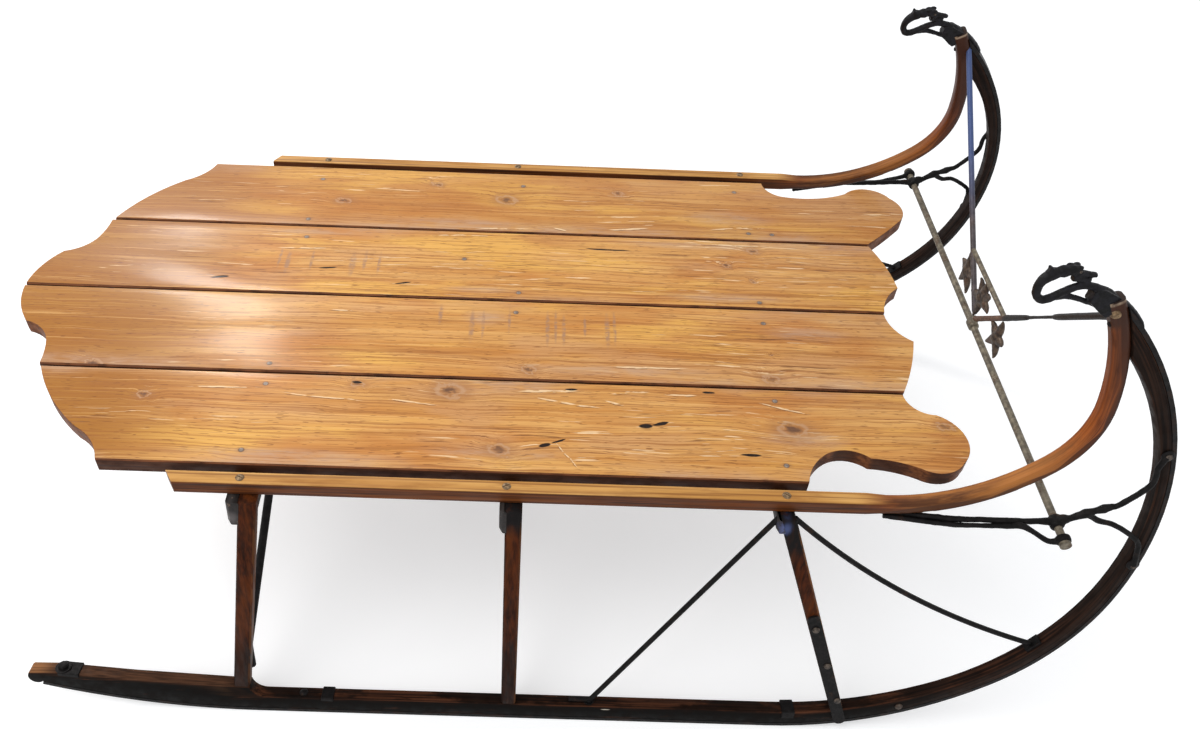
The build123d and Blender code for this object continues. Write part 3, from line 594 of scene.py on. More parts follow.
def pine(board, seed):
    """Varnished pine of one deck board, with its own grain, splits, knots and wear, and painted glint and
    shade on its scratches and round its nails.
    """
    look = Look("pine_" + board)
    shift = (seed * 3.7, seed * 5.1, 0)
    x, y, z = look.parts(look.at)
    shove = (look.noise((90, 120, 1), None, 2, 0.6, shift) - 0.5) * 0.02
    shaken = look.joined(x + shove, y - shove, z)
    rings = []
    for a, b, size in KNOTS[board]:
        off = look.vector("SUBTRACT", shaken, (a * MM, b * MM, DECK_TOP * MM))
        share = (1 / (size * 1.5 * MM), 1 / (size * MM), 1)
        rings.append(look.vector("LENGTH", look.vector("MULTIPLY", off, share)))
    near = rings[0]
    for ring in rings[1:]:
        near = near.sum("MINIMUM", ring)
    warp = look.noise((2.6, 7, 7), shift=shift)
    ripple = look.noise((14, 40, 40), shift=shift)
    moved = y + (warp - 0.5) * 0.034 + (ripple - 0.5) * 0.004 + near.reach(4.5, 0.8) * 0.006
    warped = look.joined(x, moved, z)
    bands = look.noise((0.5, 50, 50), warped, 3, 0.6, shift)
    lines = look.noise((2.4, 300, 300), warped, 3, 0.66, shift)
    fine = look.noise((8, 620, 620), warped, 2, 0.6, shift)
    ticks = look.noise((50, 560, 560), warped, 1, 0.5, shift)
    blotch = look.noise((4, 9, 9), None, 3, 0.55, shift)
    rough = look.noise((26, 90, 1), None, 3, 0.6, shift)

    yellow = look.noise((3.1, 12, 12), None, 3, 0.6, (seed * 1.3, 8, 5))
    colour = look.blend(bands.reach(0.32, 0.68), tone(192, 131, 64), tone(214, 160, 92)).tint(
        (blotch.reach(0.44, 0.68, 0, 0.85), 186, 119, 55),
        (yellow.reach(0.5, 0.66, 0, 0.8), 222, 168, 82),
        (yellow.reach(0.46, 0.34, 0, 0.6), 196, 146, 98),
        (x.reach(-0.44, -0.66) * 0.85, 150, 94, 28),
        (lines.reach(0.52, 0.64, 0, 0.6), 148, 90, 40),
        (lines.reach(0.44, 0.3, 0, 0.5), 232, 182, 116),
        (fine.reach(0.46, 0.34, 0, 0.6), 148, 92, 44),
        (ticks.reach(0.64, 0.7, 0, 0.65), 112, 62, 28),
    )
    if board == "left_outer":
        colour = colour.tint((blotch.reach(0.2, 0.6, 0.12, 0.3), 160, 100, 42))

    # Bleached bands, and saw marks across.
    middle = BOARD_MIDDLE[board]
    by_edge = abs(y - middle * MM).reach(0.05, 0.09) * warp.reach(0.44, 0.6)
    bleach = (look.deck_marks(BLEACHED[board], 0.9) | by_edge) * rough.reach(0.3, 0.62, 0.35)
    bleach = bleach * fine.reach(0.34, 0.6, 0.5)
    colour = colour.tint((bleach * 0.75, 184, 150, 124))
    marks = [(*row, 0) for row in SAW_MARKS if abs(row[1] - middle) < HALF_BOARD]
    if marks:
        broken = look.noise((120, 160, 1), None, 2, 0.6).reach(0.4, 0.56, 0.25, 0.8)
        colour = colour.tint((look.deck_marks(marks, 0.7) * broken, 158, 120, 94))

    # Open grain: torn lines, pale and dark; each scratch is drawn as a painted glint with a painted shade
    # line just below it.
    wobble = look.joined(x, y + (ripple - 0.5) * 0.011, z)
    shade_line_at = look.vector("ADD", wobble, (0, 0.0022, 0))
    masks = []
    for at, thick in ((wobble, 1), (shade_line_at, 0.7)):
        placed = look.deck_marks(SCRATCHES[board], 0.35, at, thick)
        masks.append(placed * look.noise((60, 300, 1), None, 2).reach(0.4, 0.5))
    open_zone = look.noise((2.2, 11, 1), None, 2, 0.5, (seed * 2, 3, 1)).reach(0.5, 0.6)
    torn = look.noise((12, 240, 1), warped, 2, 0.55, (seed * 7, 1, 2))
    # Pale torn lines, and the painted glint of each scratch.
    pale_and_glint = torn.reach(0.655, 0.69) * open_zone | masks[0]
    # Dark torn lines, and the painted shade line below each scratch.
    dark = torn.reach(0.36, 0.31) * open_zone | masks[1]

    # Knots with a dark heart, a ring and a stained halo, then the nails' stains, painted shade in the gap
    # round each nail head, and the splits.
    splits = look.deck_marks(SPLITS.get(board, ()), 0.3, wobble)
    nails = [(a, b) for a, b in NAILS if abs(b - middle) < HALF_BOARD]
    colour = colour.tint(
        (dark * 0.7, 104, 60, 30),
        (pale_and_glint * 0.8, 240, 208, 164),
        (near.reach(2.6, 0.9) * 0.5, 150, 100, 62),
        (near.reach(0.7, 0.95) * near.reach(1.35, 1.05) * 0.4, 196, 160, 128),
        (near.reach(0.75, 0.25) * rough.reach(0.3, 0.6, 0.5) * 0.85, 88, 60, 48),
        (look.deck_marks([(a, b, 13, 8, 0) for a, b in nails], 1) * 0.55, 140, 100, 72),
        # Painted shade in the gap round each nail head.
        (look.deck_marks([(a, b, 5.4, 5, 0) for a, b in nails], 0.3) * 0.7, 88, 60, 46),
        (splits, 30, 17, 10),
    )
    look.put("Coat Weight", 0.16)
    look.put("Coat Roughness", 0.16)
    roughness = blotch.reach(0.3, 0.8, 0.34, 0.44) + bleach * 0.2 + splits * 0.3
    relief = pale_and_glint * 1.2 - dark * 1.2 - splits * 4
    return look.finished(
        colour, roughness, 0.12, (blotch, 0.25, 2), (lines, 0.2, 0.5), (fine, 0.2, 0.3), (relief, 0.4, 0.5))


def sawn_pine():
    """The sawn edges and undersides of the boards, dark with age, and darker still with painted shade on
    the long faces along the gaps and the deck's long edges.
    """
    look = Look("pine_sawn")
    streak = look.noise((14, 260, 260), None, 3, 0.6)
    mottle = look.noise((30, 30, 60), None, 4, 0.6)
    colour = look.blend(streak.reach(), tone(76, 40, 20), tone(126, 74, 40))
    # Painted shade on the long faces, down the gaps between the boards and along the deck's long edges.
    shaded_long_face = abs(look.parts(look.facing)[1]).reach(0.9, 0.98)
    colour = colour.tint((mottle.reach(0.5, 0.7, 0, 0.7), 42, 22, 13), (shaded_long_face * 0.75, 46, 22, 11))
    roughness = mottle.reach(0.3, 0.7, 0.5, 0.75)
    return look.finished(colour, roughness, 0.2, (mottle, 0.3, 1), (streak, 0.35, 0.5))


def rail_wood():
    """Golden where the deck's varnish covers it, dark on the flanks and orange-brown round the bend, with
    painted shade underneath and a painted highlight low on the straight flanks.
    """
    look = Look("rail_wood")
    grain = look.carried()
    along, across, depth = look.parts(grain)
    streak = look.noise((5, 300, 300), grain, 3, 0.6)
    broad = look.noise((4, 60, 60), grain, 3, 0.5)
    grime = look.noise((12, 60, 60), grain, 4, 0.62, (4, 2, 1))
    lines = look.noise((2, 160, 160), grain, 3, 0.6, (1, 7, 2))
    gold = look.blend(broad.reach(), tone(176, 122, 56), tone(206, 156, 88)).tint(
        (lines.reach(0.5, 0.64, 0, 0.75), 118, 72, 30),
        (streak.reach(0.5, 0.3, 0, 0.6), 144, 92, 44),
        (grime.reach(0.46, 0.68, 0, 0.6), 148, 98, 48),
    )
    flank = look.blend(streak.reach(), tone(50, 23, 7), tone(110, 58, 22))
    end = RAIL_RUN.run * MM
    up = look.parts(look.facing)[2] + (grime - 0.5) * 0.25
    straight = along.reach(0.49, 0.43)
    light = along.reach(0.46, 0.54) * along.reach(0.8, 0.64)
    smut = along.reach(0.44, 0.5) * along.reach(0.66, 0.58)
    # Painted shade makes it nearly black underneath and round the outside of the bend.
    shade = (depth + (grime - 0.5) * 0.012).reach(0, -0.006) | up.reach(-0.1, -0.5)
    far_side = look.parts(look.at)[1].reach(0, 0.01)
    outer_edge = abs(across).reach(0.007, 0.0105) * along.reach(0.8, 0.9)
    bend = look.blend(streak.reach(0.3, 0.75), tone(98, 46, 18), tone(158, 84, 34)).tint(
        (lines.reach(0.5, 0.66, 0, 0.6), 84, 38, 17),
        (grime.reach(0.5, 0.72, 0, 0.7), 58, 28, 15),
        (light * streak.reach(0.3, 0.6, 0.2, 0.8), 176, 114, 54),
        (shade * 0.85, 48, 24, 13),
        (smut * grime.reach(0.36, 0.6, 0.15, 0.85), 70, 38, 20),
        (along.reach(end - 0.046, end - 0.032) * streak.reach(0.3, 0.7, 0.75), 54, 32, 22),
        (far_side * along.reach(end - 0.26, end - 0.12, 0.25, 0.85), 60, 30, 18),
        (outer_edge * 0.6, 56, 28, 14),
    )
    # Painted highlight, lighter and golden, low on the straight flanks.
    low_flank_highlight = straight * look.noise((7, 50, 300), grain, 2).reach(0.56, 0.66, 0, 0.6)
    lip = along.reach(end - 0.006, end - 0.003) * grime.reach(0.3, 0.5, 0.3)
    colour = look.blend(straight, bend, look.blend(up.reach(0.5, 0.78), flank, gold)).tint(
        (low_flank_highlight * depth.reach(0, -0.009), 140, 82, 40),
        (lip, 150, 130, 110),
    )
    sawn = look.blend(depth.reach(0.004, 0.009), tone(40, 27, 22), tone(150, 128, 106))
    colour = look.blend(along.reach(end - 0.0015, end - 0.0005), colour, sawn)
    roughness = grime.reach(0.3, 0.7, 0.38, 0.66)
    return look.finished(colour, roughness, 0.2, (grime, 0.3, 1), (streak, 0.35, 0.5))


SHEEN = (342, 412, 414)  # x, y, z of a blue sheen on the front beam's ends and the posts' heads


def post_wood():
    """Red-brown stained ash with dark feet and heads and a paler worn edge."""
    look = Look("post_wood")
    streak = look.noise((260, 260, 7), None, 3, 0.6)
    broad = look.noise((55, 40, 3), None, 3, 0.5)
    grime = look.noise((110, 110, 22), None, 4, 0.6)
    smear = look.noise((110, 90, 4), None, 3, 0.6, (5, 2, 3))
    x, _, z = look.parts(look.at)
    forward = look.parts(look.facing)[0]
    front = x.reach(0.2, 0.25)
    head = front * z.reach(0.345, 0.385) | abs(x).reach(0.1, 0.08) * z.reach(0.38, 0.41)
    sheen = look.both(*SHEEN, (13, 30, 18), 0.8) * grime.reach(0.35, 0.55, 0.3, 0.9)
    dark_back = forward.reach(-0.6, -0.85) * grime.reach(0.3, 0.5)
    worn = forward.reach() * grime.reach(0.38, 0.52) * z.reach(0.42, 0.38)
    colour = look.blend(streak.reach(), tone(32, 13, 5), tone(76, 34, 12)).tint(
        (broad.reach(0.4, 0.68, 0, 0.65), 100, 50, 18),
        (smear.reach(0.44, 0.68, 0, 0.6), 28, 13, 7),
        (z.reach(0.2, 0.12, 0, 0.75), 22, 13, 9),
        (head * grime.reach(0.3, 0.5, 0.75), 22, 19, 19),
        (sheen, 84, 96, 140),
        (dark_back * 0.8, 22, 13, 10),
        (worn * (front * 0.3 + 0.25), 150, 100, 62),
        (look.both(425, 462, 236, (9, 20, 14), 0.6) * 0.8, 150, 104, 52),
    )
    roughness = grime.reach(0.3, 0.7, 0.4, 0.7)
    return look.finished(colour, roughness, 0.08, (grime, 0.35, 1), (streak, 0.4, 0.5))


def runner_wood(worn):
    """Black-painted ash worn to brown along the top; worn is the rubbed edge itself."""
    look = Look("runner_wood_worn" if worn else "runner_wood")
    grain = look.carried()
    along, _, depth = look.parts(grain)
    streak = look.noise((6, 280, 280), grain, 4, 0.6)
    patch = look.noise((10, 24, 40), grain, 4, 0.62, (2, 5, 3))
    cracks = look.noise((4, 160, 160), grain, 2, 0.6, (7, 1, 2))
    grime = look.noise((60, 60, 60), None, 4, 0.6)
    x = look.parts(look.at)[0]
    brown = look.blend(streak.reach(0.32, 0.68), tone(36, 20, 13), tone(90, 54, 36))
    brown = brown.tint((cracks.reach(0.6, 0.66, 0, 0.8), 18, 12, 10))
    up = look.parts(look.facing)[2]
    top = up.reach(0.25, 0.7)
    high = top | depth.reach(0.0255, 0.031) * along.reach(0.3, 0.36)
    lowest = 0.38 if worn else 0.46
    rubbed = high * patch.reach(lowest, lowest + 0.14, 0.15, 0.85)
    rubbed = rubbed | patch.reach(0.56, 0.7, 0, 0.45) * streak.reach(0.45, 0.6)
    if worn:
        rubbed = rubbed | patch.reach(0.5, 0.62, 0, 0.5)
    paint = look.blend(grime.reach(0.35), tone(5, 4, 3), tone(16, 12, 10))
    stained = look.blend(streak.reach(0.35), tone(20, 13, 10), tone(50, 34, 26))
    paint = look.blend(along.reach(0.5, 0.75, 0, 0.85), paint, stained)
    colour = look.blend(rubbed * along.reach(0.6, 0.8, 1, 0.5), paint, brown)
    rim = (depth.reach(0.004, 0.001) | depth.reach(0.03, 0.033)) * along.reach(0.5, 0.75)
    colour = colour.tint((rim * 0.8, 9, 7, 6))
    rust_top = top * x.reach(-0.42, -0.5) * patch.reach(0.38, 0.5, 0.2, 0.9)
    rusty = look.blend(streak.reach(), tone(52, 34, 24), tone(92, 62, 44))
    nose = x.reach(-0.745, -0.785) * up.reach(0.45, 0.75)
    tan = look.both(-498, 499, 40, (26, 20, 20), 0.7) * top
    colour = look.blend(rust_top, colour, rusty).tint(
        (nose * streak.reach(0.3, 0.6, 0.4, 0.85), 152, 104, 66),
        (tan * streak.reach(0.4, 0.6, 0.3, 0.9), 140, 102, 72),
        (look.both(117, 503, 28, (9, 9, 1.3), 0.5), 190, 180, 165),
    )
    roughness = grime.reach(0.3, 0.7, 0.46, 0.72)
    return look.finished(colour, roughness, 0.06, (patch, 0.35, 1.2), (streak, 0.3, 0.5), (grime, 0.2, 0.5))


def beam_paint():
    """Dark paint over rough sawn beams, speckled where it has chipped, with a painted blue sheen on the
    front beam's ends and a painted grey highlight on the rear beam's ends.
    """
    look = Look("beam_paint")
    streak = look.noise((220, 6, 220), None, 3, 0.6)
    chip = look.noise((90, 60, 90), None, 4, 0.65)
    sheen = look.both(*SHEEN, (17, 30, 22), 0.6) * chip.reach(0.4, 0.52, 0.15, 0.9)
    colour = look.blend(streak.reach(), tone(18, 14, 13), tone(36, 28, 25)).tint(
        (chip.reach(0.6, 0.68, 0, 0.8), 104, 84, 70),
        (sheen, 88, 98, 146),
        # Painted grey highlight on the rounded ends of the rear beam.
        (look.both(-430, 412, 402, (14, 30, 18), 0.8) * 0.8, 108, 101, 100),
    )
    roughness = chip.reach(0.3, 0.7, 0.38, 0.62)
    return look.finished(colour, roughness, 0.3, (chip, 0.4, 0.8), (streak, 0.4, 0.6))


def iron(name, dark, light, rust, rust_share, rough, metal, grain=1, fade=None, shine=0.4):
    """Hammered iron under old paint, with rust breaking through.

    fade gives it another colour away from the middle: (from, to, red, green, blue), in millimetres.
    """
    look = Look(name)
    dents = look.noise((110 / grain,) * 3, None, 3, 0.55)
    scale = look.noise((420 / grain,) * 3, None, 4, 0.65)
    patch = look.noise((38,) * 3, None, 4, 0.6, (3, 1, 7))
    colour = look.blend(dents.reach(0.35, 0.7), tone(*dark), tone(*light))
    show = patch.reach(0.62 - rust_share, 0.72 - rust_share) * scale.reach(0.35, 0.6)
    rusty = look.blend(scale.reach(), tone(*rust), tone(*[part * 0.6 for part in rust]))
    colour = look.blend(show, colour, rusty)
    if fade is not None:
        far = abs(look.parts(look.at)[1])
        colour = colour.tint((far.reach(fade[0] * MM, fade[1] * MM), *fade[2:]))
    look.put("Metallic", show.reach(0, 1, metal, metal * 0.4))
    roughness = scale.reach(0.3, 0.75, rough, rough + 0.24)
    return look.finished(colour, roughness, shine, (dents, 0.4, 0.8), (scale, 0.35, 0.3))


# Each iron's bare colours, dark and light, then its rust, the rust's share, the roughness and the metal.
BLACK_IRON = iron("black_iron", (7, 6, 6), (24, 21, 21), (60, 40, 28), 0.04, 0.46, 0.1, shine=0.14)
BLUE_BLACK_IRON = iron("blue_black_iron", (6, 5, 6), (22, 21, 26), (40, 30, 26), 0, 0.42, 0.1, shine=0.2)
WORN_IRON = iron("worn_iron", (84, 76, 64), (128, 118, 100), (104, 76, 50), 0.1, 0.44, 0.3)
BAR_IRON = iron(
    "bar_iron", (78, 54, 40), (112, 80, 60), (112, 66, 42), 0.14, 0.42, 0.2, 1, (76, 96, 30, 27, 27), 0.25)
LEAF_IRON = iron("leaf_iron", (50, 40, 34), (96, 80, 66), (104, 66, 44), 0.08, 0.4, 0.4)
SHOE_STEEL = iron("shoe_steel", (8, 7, 7), (28, 25, 24), (52, 34, 24), 0.1, 0.4, 0.2, shine=0.2)
# Grey-brown iron of the far V bar, with a painted blue sheen of the sky towards its upper end.
PAINTED_SHEEN_IRON = iron(
    "grey_iron_painted_sheen", (66, 60, 62), (96, 88, 88), (84, 60, 48), 0.06, 0.36, 0.25, 2,
    (110, 230, 66, 82, 124), 0.3)
FASTENER = iron("fastener_steel", (40, 34, 30), (96, 84, 74), (84, 56, 38), 0.1, 0.38, 0.5, 0.5)
NAIL_STEEL = iron("nail_steel", (112, 98, 88), (150, 136, 124), (100, 74, 54), 0.04, 0.44, 0.3, 0.5)
SCREW_STEEL = iron("screw_steel", (92, 72, 50), (150, 124, 92), (90, 60, 38), 0.06, 0.4, 0.4, 0.5)
RAIL_WOOD = rail_wood()
POST_WOOD = post_wood()
RUNNER_WOOD = runner_wood(False)
RUNNER_WORN = runner_wood(True)
BEAM_PAINT = beam_paint()
SAWN_PINE = sawn_pine()


def dress(name, look):
    """Gives a CAD node's own mesh a material."""
    slots = nodes[name].material_slots
    for slot in slots:
        slot.material = look
    if not slots:
        nodes[name].data.materials.append(look)


# ---- Deck boards ----
UPWARDS = 0.8  # a face whose normal rises more than this is varnished
for seed, board in enumerate(("left_outer", "left_inner", "right_inner", "right_outer"), 1):
    bm = from_node("deck_board_" + board)
    rounded(bm, 2.4, 40, 3)
    bm.normal_update()
    for bm_face in bm.faces:
        bm_face.material_index = 0 if bm_face.normal.z > UPWARDS else 1
    piece("board_" + board, bm, [pine(board, seed), SAWN_PINE], ["deck_board_" + board])


# ---- Rails and runners, which carry their grain round the bend ----
for hand, label in HANDS:
    bm = from_node("rail_" + label)
    rounded(bm, 1, 60)
    carry(bm, RAIL_RUN, world(0, RAIL_Y, RAIL_Z, hand), side_turn(hand, RAIL_LEAN))
    piece("wooden_rail_" + label, bm, [RAIL_WOOD], ["rail_" + label])

    bm = from_node("runner_" + label)
    rounded(bm, 2.2, 40, 2, 1)
    sliced(bm, RUNNER_RUN, side(0, 0, 0, hand), side_turn(hand), 30)
    carry(bm, RUNNER_RUN, side(0, 0, 0, hand), side_turn(hand))
    piece("wooden_runner_" + label, bm, [RUNNER_WOOD, RUNNER_WORN], ["runner_" + label])

# ---- Wood and iron that keep the frame's shape, with rounded and worn edges ----
OWN_LOOKS = {"cross_rod": WORN_IRON, "v_tie": WORN_IRON, "v_bar_left": PAINTED_SHEEN_IRON}
WOODEN = {"post": (POST_WOOD, "post_wood"), "beam": (BEAM_PAINT, "beam_paint")}
for name in sorted(nodes):
    kind = name.split("_")[0]
    if kind in WOODEN:
        bm = from_node(name)
        rounded(bm, 1.2, 40)
        look, slot = WOODEN[kind]
        piece("wooden_" + name, bm, [look], [name])
    elif kind not in ("rail", "runner") and name not in ("v_knuckle", "v_bar_right"):
        dress(name, SHOE_STEEL if kind == "shoe" else OWN_LOOKS.get(name, BLACK_IRON))

# ---- Draft irons ----
# Roots of the iron and the loop: x, out from the rail's middle, z, radius.
IRON_ROOT = (478, -1, 423.5, 4.4)
LOOP_ROOT = (478, 8, 424.2, 3.8)
# Rows of (ahead of the rod, out from IRON_Y, above the rod, radius).
IRON_RUN = (
    (-148, -4, -4, 4.6), (-110, -3, -3, 4.2), (-67, -1, -1, 4.6), (-30, 0, 1, 4.6), (0, 0, 3, 6.2),
    (14, 0, 9, 4.8), (26, 0, 17, 5.6), (34, 0, 22, 7), (43, -0.5, 27, 4.8), (54, -1, 32, 6.6),
)
UPPER = (IRON_RUN[-1], (63, -1, 37, 4.6), (72, -1, 42, 4.2))
LOWER = ((34, 0, 22, 5.6), (45, 1, 15, 4.4), (56, 3, 10, 4.2), (76, 8, 8, 4))
LOOP_RUN = (
    (-148, 3, -8, 3.8), (-105, 5, -6, 3.6), (-68, 6, -4, 4.2), (-51, 7, -1, 5), (-36, 16, -2, 4),
    (-20, 27, -6, 4), (-8, 30, -4, 5), (0, 30, 0, 6),
)
IRON_OUT = 3.4  # of an iron's middle, beyond the runner's face
# Rows of (heading, depth, radius) on the runner's face.
UPPER_END = ((102.5, 30, 4.2), (106, 24, 4), (108, 14, 4.4))
LOWER_END = ((91, 33, 4), (89, 19, 3.8), (84.5, 10, 4.4))
IRON_BOLTS = ((108, 12), (84.5, 10))  # heading, depth
# Lathed profiles, as rows of (radius, height): a fork's foot, the rod's hub and the loop's eye.
FORK_FOOT = ((9, 0), (9, 2.4), (7.6, 4), (4.6, 4.4))
ROD_HUB = ((6.6, 0), (9.6, 2), (9.9, 10), (9.6, 18), (6.6, 20))
LOOP_EYE = ((7, 0), (10, 2), (10.4, 6), (10, 10), (7, 12))


def root(row, hand):
    """Start of an iron under the rail."""
    x, out, z, radius = row
    return [(world(x, RAIL_Y + out, z, hand), radius * MM)]


def forged(rows, hand):
    """Run of (point, radius) beside the cross rod."""
    return [(world(ROD[0] + a, IRON_Y + o, ROD[1] + h, hand), r * MM) for a, o, h, r in rows]


def on_runner(rows, hand):
    """Run of (point, radius) on the runner's outer face."""
    return [(bend_point(heading, depth, IRON_OUT, hand), r * MM) for heading, depth, r in rows]


def on_rod(bm, y, profile, hand):
    """Lathed part with its middle on the cross rod, that far out."""
    place = world(ROD[0], y - profile[-1][1] / 2, ROD[1], hand)
    lathe(bm, place, Vector((0, hand, 0)), profile)


for hand, label in HANDS:
    bm = bmesh.new()
    for run in (
        root(IRON_ROOT, hand) + forged(IRON_RUN, hand),
        forged(UPPER, hand) + on_runner(UPPER_END, hand),
        forged(LOWER, hand) + on_runner(LOWER_END, hand),
    ):
        tube(bm, flow(run, 6), 12)
    for heading, depth in IRON_BOLTS:
        lathe(bm, bend_point(heading, depth, 0, hand), side_turn(hand).col[2], FORK_FOOT)
    on_rod(bm, IRON_Y, ROD_HUB, hand)
    lump(bm, world(ROD[0] + 8, IRON_Y, ROD[1] + 8, hand), (10, 7, 7))
    bm = fused(bm, 1.3)
    hammered(bm, 0.5, 9, hand)
    piece("forged_iron_" + label, bm, [BLACK_IRON], ["draft_iron_" + label])

    bm = bmesh.new()
    tube(bm, flow(root(LOOP_ROOT, hand) + forged(LOOP_RUN, hand), 6), 12)
    on_rod(bm, IRON_Y + LOOP_RUN[-1][1], LOOP_EYE, hand)
    bm = fused(bm, 1.2)
    hammered(bm, 0.4, 8, hand + 3)
    piece("forged_loop_" + label, bm, [BLACK_IRON], ["draft_loop_" + label])

# ---- Knuckle and the near V bar ----
V_FOOT = (715, 447)  # x, z
V_TOP = (698.7, 760, 349.9)  # x, z, y
KNUCKLE = ((7.4, 0), (8.6, 1.6), (8.8, 9), (8.6, 16.4), (7.4, 18))  # radius, height
# Rows of (share of the way from the foot to the tip, radius).
V_KNOTS = (
    (0, 4.6), (0.22, 4.6), (0.27, 5), (0.4, 4.2), (0.44, 2.6), (0.58, 2.5), (0.62, 4.6), (0.85, 5),
    (1, 5.4),
)
bm = bmesh.new()
on_rod(bm, 0, KNUCKLE, LEFT)
lump(bm, Vector((V_FOOT[0], 0, V_FOOT[1] - 2)) * MM, (6.5, 8.5, 7))
bm = fused(bm, 1.2)
hammered(bm, 0.4, 6, 2)
piece("forged_knuckle", bm, [WORN_IRON], ["v_knuckle"])

foot = Vector((V_FOOT[0], 0, V_FOOT[1])) * MM
top = world(V_TOP[0], V_TOP[2], V_TOP[1], RIGHT)
bm = bmesh.new()
tube(bm, flow([(foot.lerp(top, share), radius * MM) for share, radius in V_KNOTS], 6), 14)
hammered(bm, 0.35, 9, 5)
piece("wrought_bar_right", bm, [BAR_IRON], ["v_bar_right"])

# ---- Leaf castings ----
V_ANGLE = math.atan2(V_FOOT[0] - V_TOP[0], V_TOP[1] - V_FOOT[1])
V_TURN = Matrix((
    Vector((0, 1, 0)),
    Vector((-math.sin(V_ANGLE), 0, math.cos(V_ANGLE))),
    Vector((math.cos(V_ANGLE), 0, math.sin(V_ANGLE))),
)).transposed()
# Rows of (direction, length) of the points.
SIDE_LEAF = ((97, 38), (166, 28), (242, 34), (310, 38), (380, 32))
MIDDLE_LEAF = ((100, 39), (140, 38), (181, 39), (276, 42), (338, 41), (412, 33))
# Rows of (share of the length, radius, lift) along a point.
POINT = ((0, 9, 0), (0.25, 9, 1), (0.5, 8.2, 1.5), (0.78, 5.6, 1), (1, 2, -1))
# Rows of (name, across, up, points, way round).
LEAVES = (
    ("left", 84, 34, SIDE_LEAF, -1), ("middle", 6, 41, MIDDLE_LEAF, 1), ("right", -84, 34, SIDE_LEAF, 1),
)


def in_v(across, up, front=0):
    """Point in the plane of the V bars: across, up the slope, to the front."""
    return foot + V_TURN @ (Vector((across, up, front)) * MM)


for label, across, up, tips, flip in LEAVES:
    bm = bmesh.new()
    for direction, length in tips:
        angle = math.radians(direction)
        ahead = Vector((flip * math.cos(angle), math.sin(angle)))
        knots = []
        for part, radius, lift in POINT:
            spot = ahead * (length * part)
            knots.append((in_v(across + spot.x, up + spot.y, lift), radius * MM))
        tube(bm, flow(knots, 4), 12, 0.62, V_TURN @ Vector((-ahead.y, ahead.x, 0)))
    lump(bm, in_v(across, up), (11, 11, 7), V_TURN)
    bm = fused(bm, 1.1)
    hammered(bm, 0.5, 6, across)
    piece("cast_leaf_" + label, bm, [LEAF_IRON], ["leaf_" + label])

# ---- Finials ----
# Rows of (x, height up the slope, radius) from the runner's tip.
NECK = (
    (-2, -8, 6), (-10, 0, 6.4), (-20, 5, 5.8), (-32, 9.5, 5.2), (-46, 11.5, 5), (-62, 5, 5), (-78, -6, 5.4),
    (-90, -10, 5.2), (-98, -3, 5.2), (-99, 9, 5.6), (-94, 19, 6.6), (-84, 26, 7.5),
)
BEARD = ((-12, -18, 4.6), (-22, -14, 3.8), (-33, -11, 3.4), (-46, -7, 3.6), (-60, -4, 4), (-74, -6, 4))
HORN = ((-88, 28, 3.4), (-91, 32, 2.6), (-92.5, 35, 1.3))
SNOUT = ((-60, 26, 6), (-52, 27, 4.4), (-44, 26.5, 3.6), (-37, 25.5, 3.4), (-34, 24, 2.2))
JAW = ((-62, 21, 4.6), (-54, 19.5, 3.6), (-46, 19, 3), (-39, 19.5, 2.2))
# Rows of (x, height, out, reach along, up, out) of the skull's lumps.
SKULL = (
    (-86, 26, 0, 10, 7.5, 7.2), (-75, 29, 0, 10, 7.5, 7.5), (-64, 31, 0, 9, 7, 7.5),
    (-57, 27, 0, 8, 6, 6.5), (-60, 36, 4.5, 5, 3.2, 3.2), (-60, 36, -4.5, 5, 3.2, 3.2),
    (-68, 36, 3, 5, 3, 3), (-68, 36, -3, 5, 3, 3),
)
SOCKET = ((11, -12), (3, -2), (-20, 9), (-33, 6), (-35, -8), (-17, -23), (-10, -28))
SOCKET_HALF = 9
# Rows of (heading, depth) of the strap from the socket down the outside of the runner's tip.
STRAP = ((140.2, 7), (139.6, 2), (138, -0.6), (136, -1.2), (134, -0.6), (133.2, 1.5))
STRAP_HALF = 7.5
EYE_AT = (-58, 31.5, 6.2)  # x, height, out


def by_tip(x, height, out, hand):
    """Point counted from the middle of the runner's tip."""
    return side(TIP[0] + x, TIP[1] + height, MIDDLE_OUT + out, hand)


def tip_run(rows, out, hand, steps=6):
    """Smooth run of (point, radius) by the runner's tip."""
    return flow([(by_tip(x, height, out, hand), radius * MM) for x, height, radius in rows], steps)


for hand, label in HANDS:
    bm = bmesh.new()
    turn = side_turn(hand)
    tube(bm, tip_run(NECK, 0, hand), 14)
    tube(bm, tip_run(BEARD, 0, hand), 12)
    for x, height, out, *reach in SKULL:
        lump(bm, by_tip(x, height, out, hand), reach, turn)
    for out in (3, -3):
        tube(bm, tip_run(HORN, out, hand, 4), 10)
    tube(bm, tip_run(SNOUT, 0, hand, 5), 12, 1.25, turn.col[1])
    tube(bm, tip_run(JAW, 0, hand, 5), 12, 1.3, turn.col[1])
    slab(bm, SOCKET, turn, by_tip(0, 0, 0, hand), -SOCKET_HALF, SOCKET_HALF)
    strap = [(bend_point(heading, depth, MIDDLE_OUT, hand), STRAP_HALF * MM) for heading, depth in STRAP]
    tube(bm, flow(strap, 6), 16, 0.45, turn.col[2])
    bm = fused(bm, 1.05, 3)
    hammered(bm, 0.45, 5, hand)
    bm = cut_by(bm, "rail_" + label)
    piece("beast_head_" + label, bm, [BLUE_BLACK_IRON], ["finial_" + label])
    # Eye beads in lighter steel: a raised eye with a painted glint.
    for way, part in ((1, "outer"), (-1, "inner")):
        bm = bmesh.new()
        lump(bm, by_tip(*EYE_AT[:2], way * EYE_AT[2], hand), (2, 1.8, 1.2), turn)
        piece("eye_{}_{}".format(label, part), bm, [FASTENER])


